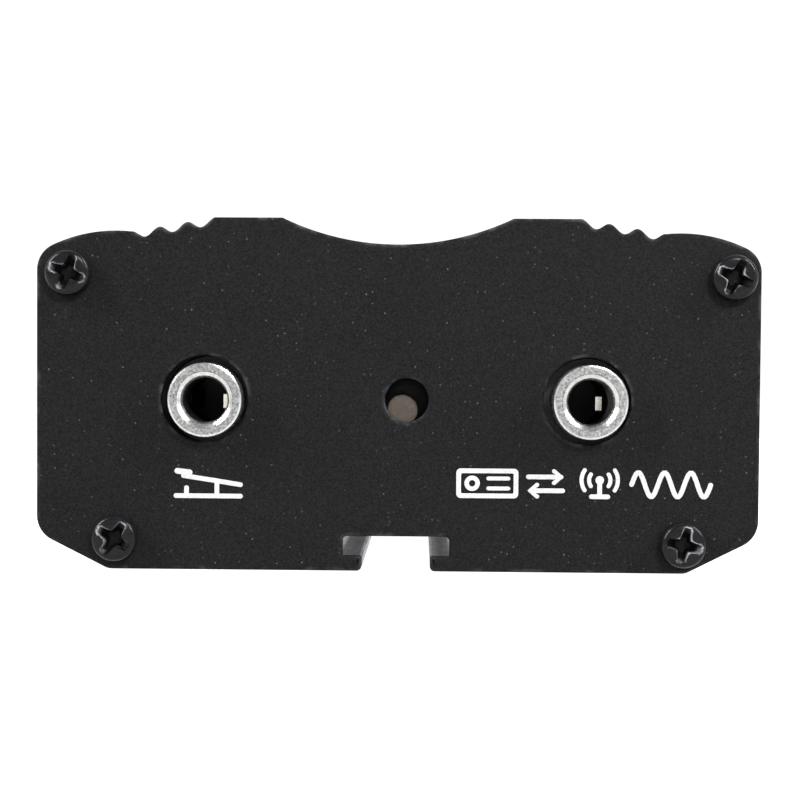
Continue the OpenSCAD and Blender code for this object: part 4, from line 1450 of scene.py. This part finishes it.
@dataclass
class FingerPiece:
    """One moulded finger piece with its grip ribs and its two sunk screws."""

    side: str
    body: str
    sign: float
    copies: CopyTree
    rear_radius: float = 3.0
    nose_radius: float = 6.0
    edge: float = 0.45
    rib_spots: tuple[float, ...] = (-2.6, -4.2, -5.8, -7.4)
    rib_half: float = 4.6
    rib_width: float = 0.35
    rib_height: float = 0.22
    seat_gap: float = 0.03
    screw: CrossScrew = CrossScrew(
        head_radius=1.57, shank_radius=0.78, length=5.3, depth=0.6, sunk=True, sides=40
    )

    def build(self) -> None:
        """Builds the finger piece, its ribs and its screws."""
        node = f"{self.side}_finger_piece"
        low, high = node_box(node)
        path = [
            (low[1], low[2], self.rear_radius), (high[1], low[2], self.nose_radius),
            (high[1], high[2], self.nose_radius), (low[1], high[2], self.rear_radius),
        ]
        screws_low, screws_high = node_box(f"{self.side}_finger_screws")
        radius = self.screw.head_radius + self.seat_gap
        middle = (screws_low[2] + screws_high[2]) / 2
        spots = (screws_low[1] + radius, screws_high[1] - radius)
        holes = [circle((y, middle), radius, 48) for y in spots]
        solid = Solid()
        solid.sweep([rounded(path, 16), *holes], Axis.X, low[0], high[0], self.edge, 0.3, 5)
        face = high[0] if self.sign > 0 else low[0]
        piece = solid.build(f"{self.side}_finger_plate", [FINISHES[FINGER_PLASTIC]], 30)
        show(piece, self.body, "finger_black", node)
        self._ribs(face, high[1], middle)
        turns = [(0.0, math.radians(18), 0.0), (0.0, math.radians(52), 0.0)]
        quarter = math.pi / 2 * self.sign
        piece = self.copies.lay(
            f"{self.side}_finger_plate_screws", self.screw.solid(), BLACK_OXIDE,
            [(face, y, middle) for y in spots],
            [(turn[0], turn[1], quarter) for turn in turns], inner=SHADED_RECESS,
        )
        show(piece, self.body, "steel", f"{self.side}_finger_screws")

    def _ribs(self, face: float, nose: float, middle: float) -> None:
        """Lays the grip ribs near the finger piece's nose."""
        rib = Solid()
        half, width, height = self.rib_half, self.rib_width, self.rib_height
        path = rounded_box((-width, -half), (width, half), width - 0.01, 6)
        rib.sweep([path], Axis.X, -height, height, 0.16, 0.05)
        piece = self.copies.lay(
            f"{self.side}_grip_ribs", rib, FINGER_PLASTIC,
            [(face, nose + back, middle) for back in self.rib_spots],
            [(0.0, 0.0, 0.0)] * len(self.rib_spots),
        )
        show(piece, self.body, "finger_black")


@dataclass
class Lever:
    """One lever with everything that swings with it."""

    side: str
    body: str
    sign: float
    copies: CopyTree

    def build(self) -> None:
        """Builds the finger piece and dresses the rest of the lever."""
        FingerPiece(self.side, self.body, self.sign, self.copies).build()
        for part, finish in (
            ("lever", SATIN_ALUMINIUM), ("pivot_pin", ZINC_STEEL),
            ("magnet", MAGNET_NICKEL), ("contact_rivet", CONTACT_SILVER),
        ):
            dress(f"{self.side}_{part}", finish)


# ---------------------------------------------------------------- inside the case


# The nodes that keep their frame shapes, by finish.
INSIDE: dict[Finish, tuple[str, ...]] = {
    SOLDER_MASK: ("circuit_board",),
    CHIP_EPOXY: ("keyer_chip", "chip_resistors"),
    TINNED_BRONZE: ("keyer_chip_leads",),
    CERAMIC: ("chip_capacitors",),
    BLACK_PLASTIC: ("coin_cell_holder",),
    STAINLESS: ("coin_cell", "dit_bearings", "dah_bearings"),
    ZINC_STEEL: (
        "coin_cell_clip", "bridge_screws", "base_screws", "dit_contact_screw",
        "dah_contact_screw", "post_screws",
    ),
    MILLED_BRASS: (
        "mechanism_base", "bridge_pillars", "stop_post", "dit_contact_post",
        "dah_contact_post", "contact_lock_nuts",
    ),
    SATIN_ALUMINIUM: ("bearing_bridge",),
    NYLON: ("stop_rod",),
    MAGNET_NICKEL: ("stop_magnets",),
}


class Inside:
    """What stands on the circuit board."""

    def build(self) -> None:
        """Dresses each node."""
        for finish, nodes in INSIDE.items():
            for node in nodes:
                dress(node, finish)


# ---------------------------------------------------------------- studio


# Each light's name, place, width and height in metres, and power in watts.
LIGHTS = (
    ("key_light", (0.23, -0.62, 0.44), 0.12, 0.12, 4.2),
    ("right_strip", (0.44, -0.2, 0.36), 0.06, 0.3, 3.4),
    ("left_strip", (-0.42, -0.22, 0.34), 0.06, 0.3, 3.4),
    ("front_fill", (0.0, -1.3, 0.5), 0.8, 0.8, 0.5),
    ("top_light", (0.0, 0.3, 1.2), 1.4, 1.4, 5.0),
    ("back_light", (0.3, 1.1, 0.6), 0.8, 0.8, 3.2),
)


@dataclass
class Studio:
    """A pale, evenly lit floor that sweeps up behind, soft lights and the camera."""

    camera_mm: Point = (1.92, -196.0, 14.71)
    yaw: float = 1.37
    pitch: float = -2.0
    roll: float = 0.404
    lens: float = 84.2
    shift: Flat = (0.0305, 0.0667)
    bowl: float = 2.4
    rim: float = 2.4
    sweep: float = 0.9
    dim_glow: float = 0.55
    glow_from: float = -0.7
    gap_mm: float = 0.05
    room: str = "#f4f6fa"
    room_strength: float = 0.13

    def build(self) -> None:
        """Builds the floor, the lights, the surroundings and the camera."""
        self._floor()
        self._surroundings()
        for light in LIGHTS:
            self._light(*light)
        self._camera()
        bpy.context.scene.view_settings.view_transform = "Standard"

    def _floor(self) -> None:
        """Builds the floor and the sweep round it as one bowl, dimmer on the rear side."""
        bend = self.bowl - self.sweep
        path = [(0.0, 0.0), (0.5, 0.0), (bend, 0.0)]
        path += [(bend + r, self.sweep + z) for r, z in arc((0, 0), self.sweep, 270, 90, 20)[1:]]
        path += [(self.bowl, self.rim)]
        bowl = Solid()
        profile = [(r / MM, z / MM - self.gap_mm) for r, z in path]
        bowl.turn(profile, Axis.Z, (0.0, 0.0), 96, closed=False)
        paper = FINISHES[STUDIO_PAPER]
        tree = paper.node_tree
        place = add_node(tree, "ShaderNodeTexCoord").outputs["Object"]
        along = add_node(tree, "ShaderNodeSeparateXYZ", {"Vector": place}).outputs["Y"]
        dim_range = (-self.bowl, self.glow_from)
        glow = ramp(tree, along, dim_range, (self.dim_glow, STUDIO_PAPER.glow))
        surface = next(node for node in tree.nodes if node.type == "BSDF_PRINCIPLED")
        tree.links.new(glow, surface.inputs["Emission Strength"])
        floor = bowl.build("floor", [paper], 60)
        floor.visible_diffuse = False

    def _surroundings(self) -> None:
        """Sets the even light of the room."""
        world = bpy.data.worlds.new("studio")
        world.use_nodes = True
        back = world.node_tree.nodes["Background"]
        back.inputs["Color"].default_value = linear(self.room)
        back.inputs["Strength"].default_value = self.room_strength
        bpy.context.scene.world = world

    def _light(
        self, name: str, place: Point, width: float, height: float, power: float
    ) -> None:
        """Adds a soft oblong light that faces the key."""
        data = bpy.data.lights.new(name, "AREA")
        data.shape = "RECTANGLE"
        data.size, data.size_y = width, height
        data.energy = power
        lamp = bpy.data.objects.new(name, data)
        lamp.location = place
        lamp.visible_camera = False
        aim = Vector((0, 0, 0.012)) - Vector(place)
        lamp.rotation_euler = aim.to_track_quat("-Z", "Y").to_euler()
        bpy.context.scene.collection.objects.link(lamp)

    def _camera(self) -> None:
        """Sets the camera almost square on to the rear plate."""
        data = bpy.data.cameras.new("camera")
        data.lens = self.lens
        data.shift_x, data.shift_y = self.shift
        data.clip_start = 0.01
        camera = bpy.data.objects.new("camera", data)
        camera.location = [c * MM for c in self.camera_mm]
        turned = (
            Matrix.Rotation(math.radians(self.yaw), 3, "Z")
            @ Matrix.Rotation(math.radians(90 + self.pitch), 3, "X")
            @ Matrix.Rotation(math.radians(self.roll), 3, "Z")
        )
        camera.rotation_euler = turned.to_euler()
        bpy.context.scene.collection.objects.link(camera)
        bpy.context.scene.camera = camera


# ---------------------------------------------------------------- the whole key


def main() -> None:
    """Builds the key, then the studio round it."""
    logging.basicConfig(level=logging.INFO, format="%(name)s %(message)s")
    copies = CopyTree()
    builders: list[Any] = [
        Case(CaseProfile()),
        EndScrews(copies),
        Socket("key_jack"),
        Socket("transceiver_jack"),
        SocketMarks(),
        SetButton(),
        Lever("dit", DIT, 1.0, copies),
        Lever("dah", DAH, -1.0, copies),
        Inside(),
        Studio(),
    ]
    for builder in builders:
        LOG.info("building %s", type(builder).__name__)
        builder.build()


if __name__ == "__main__":
    main()
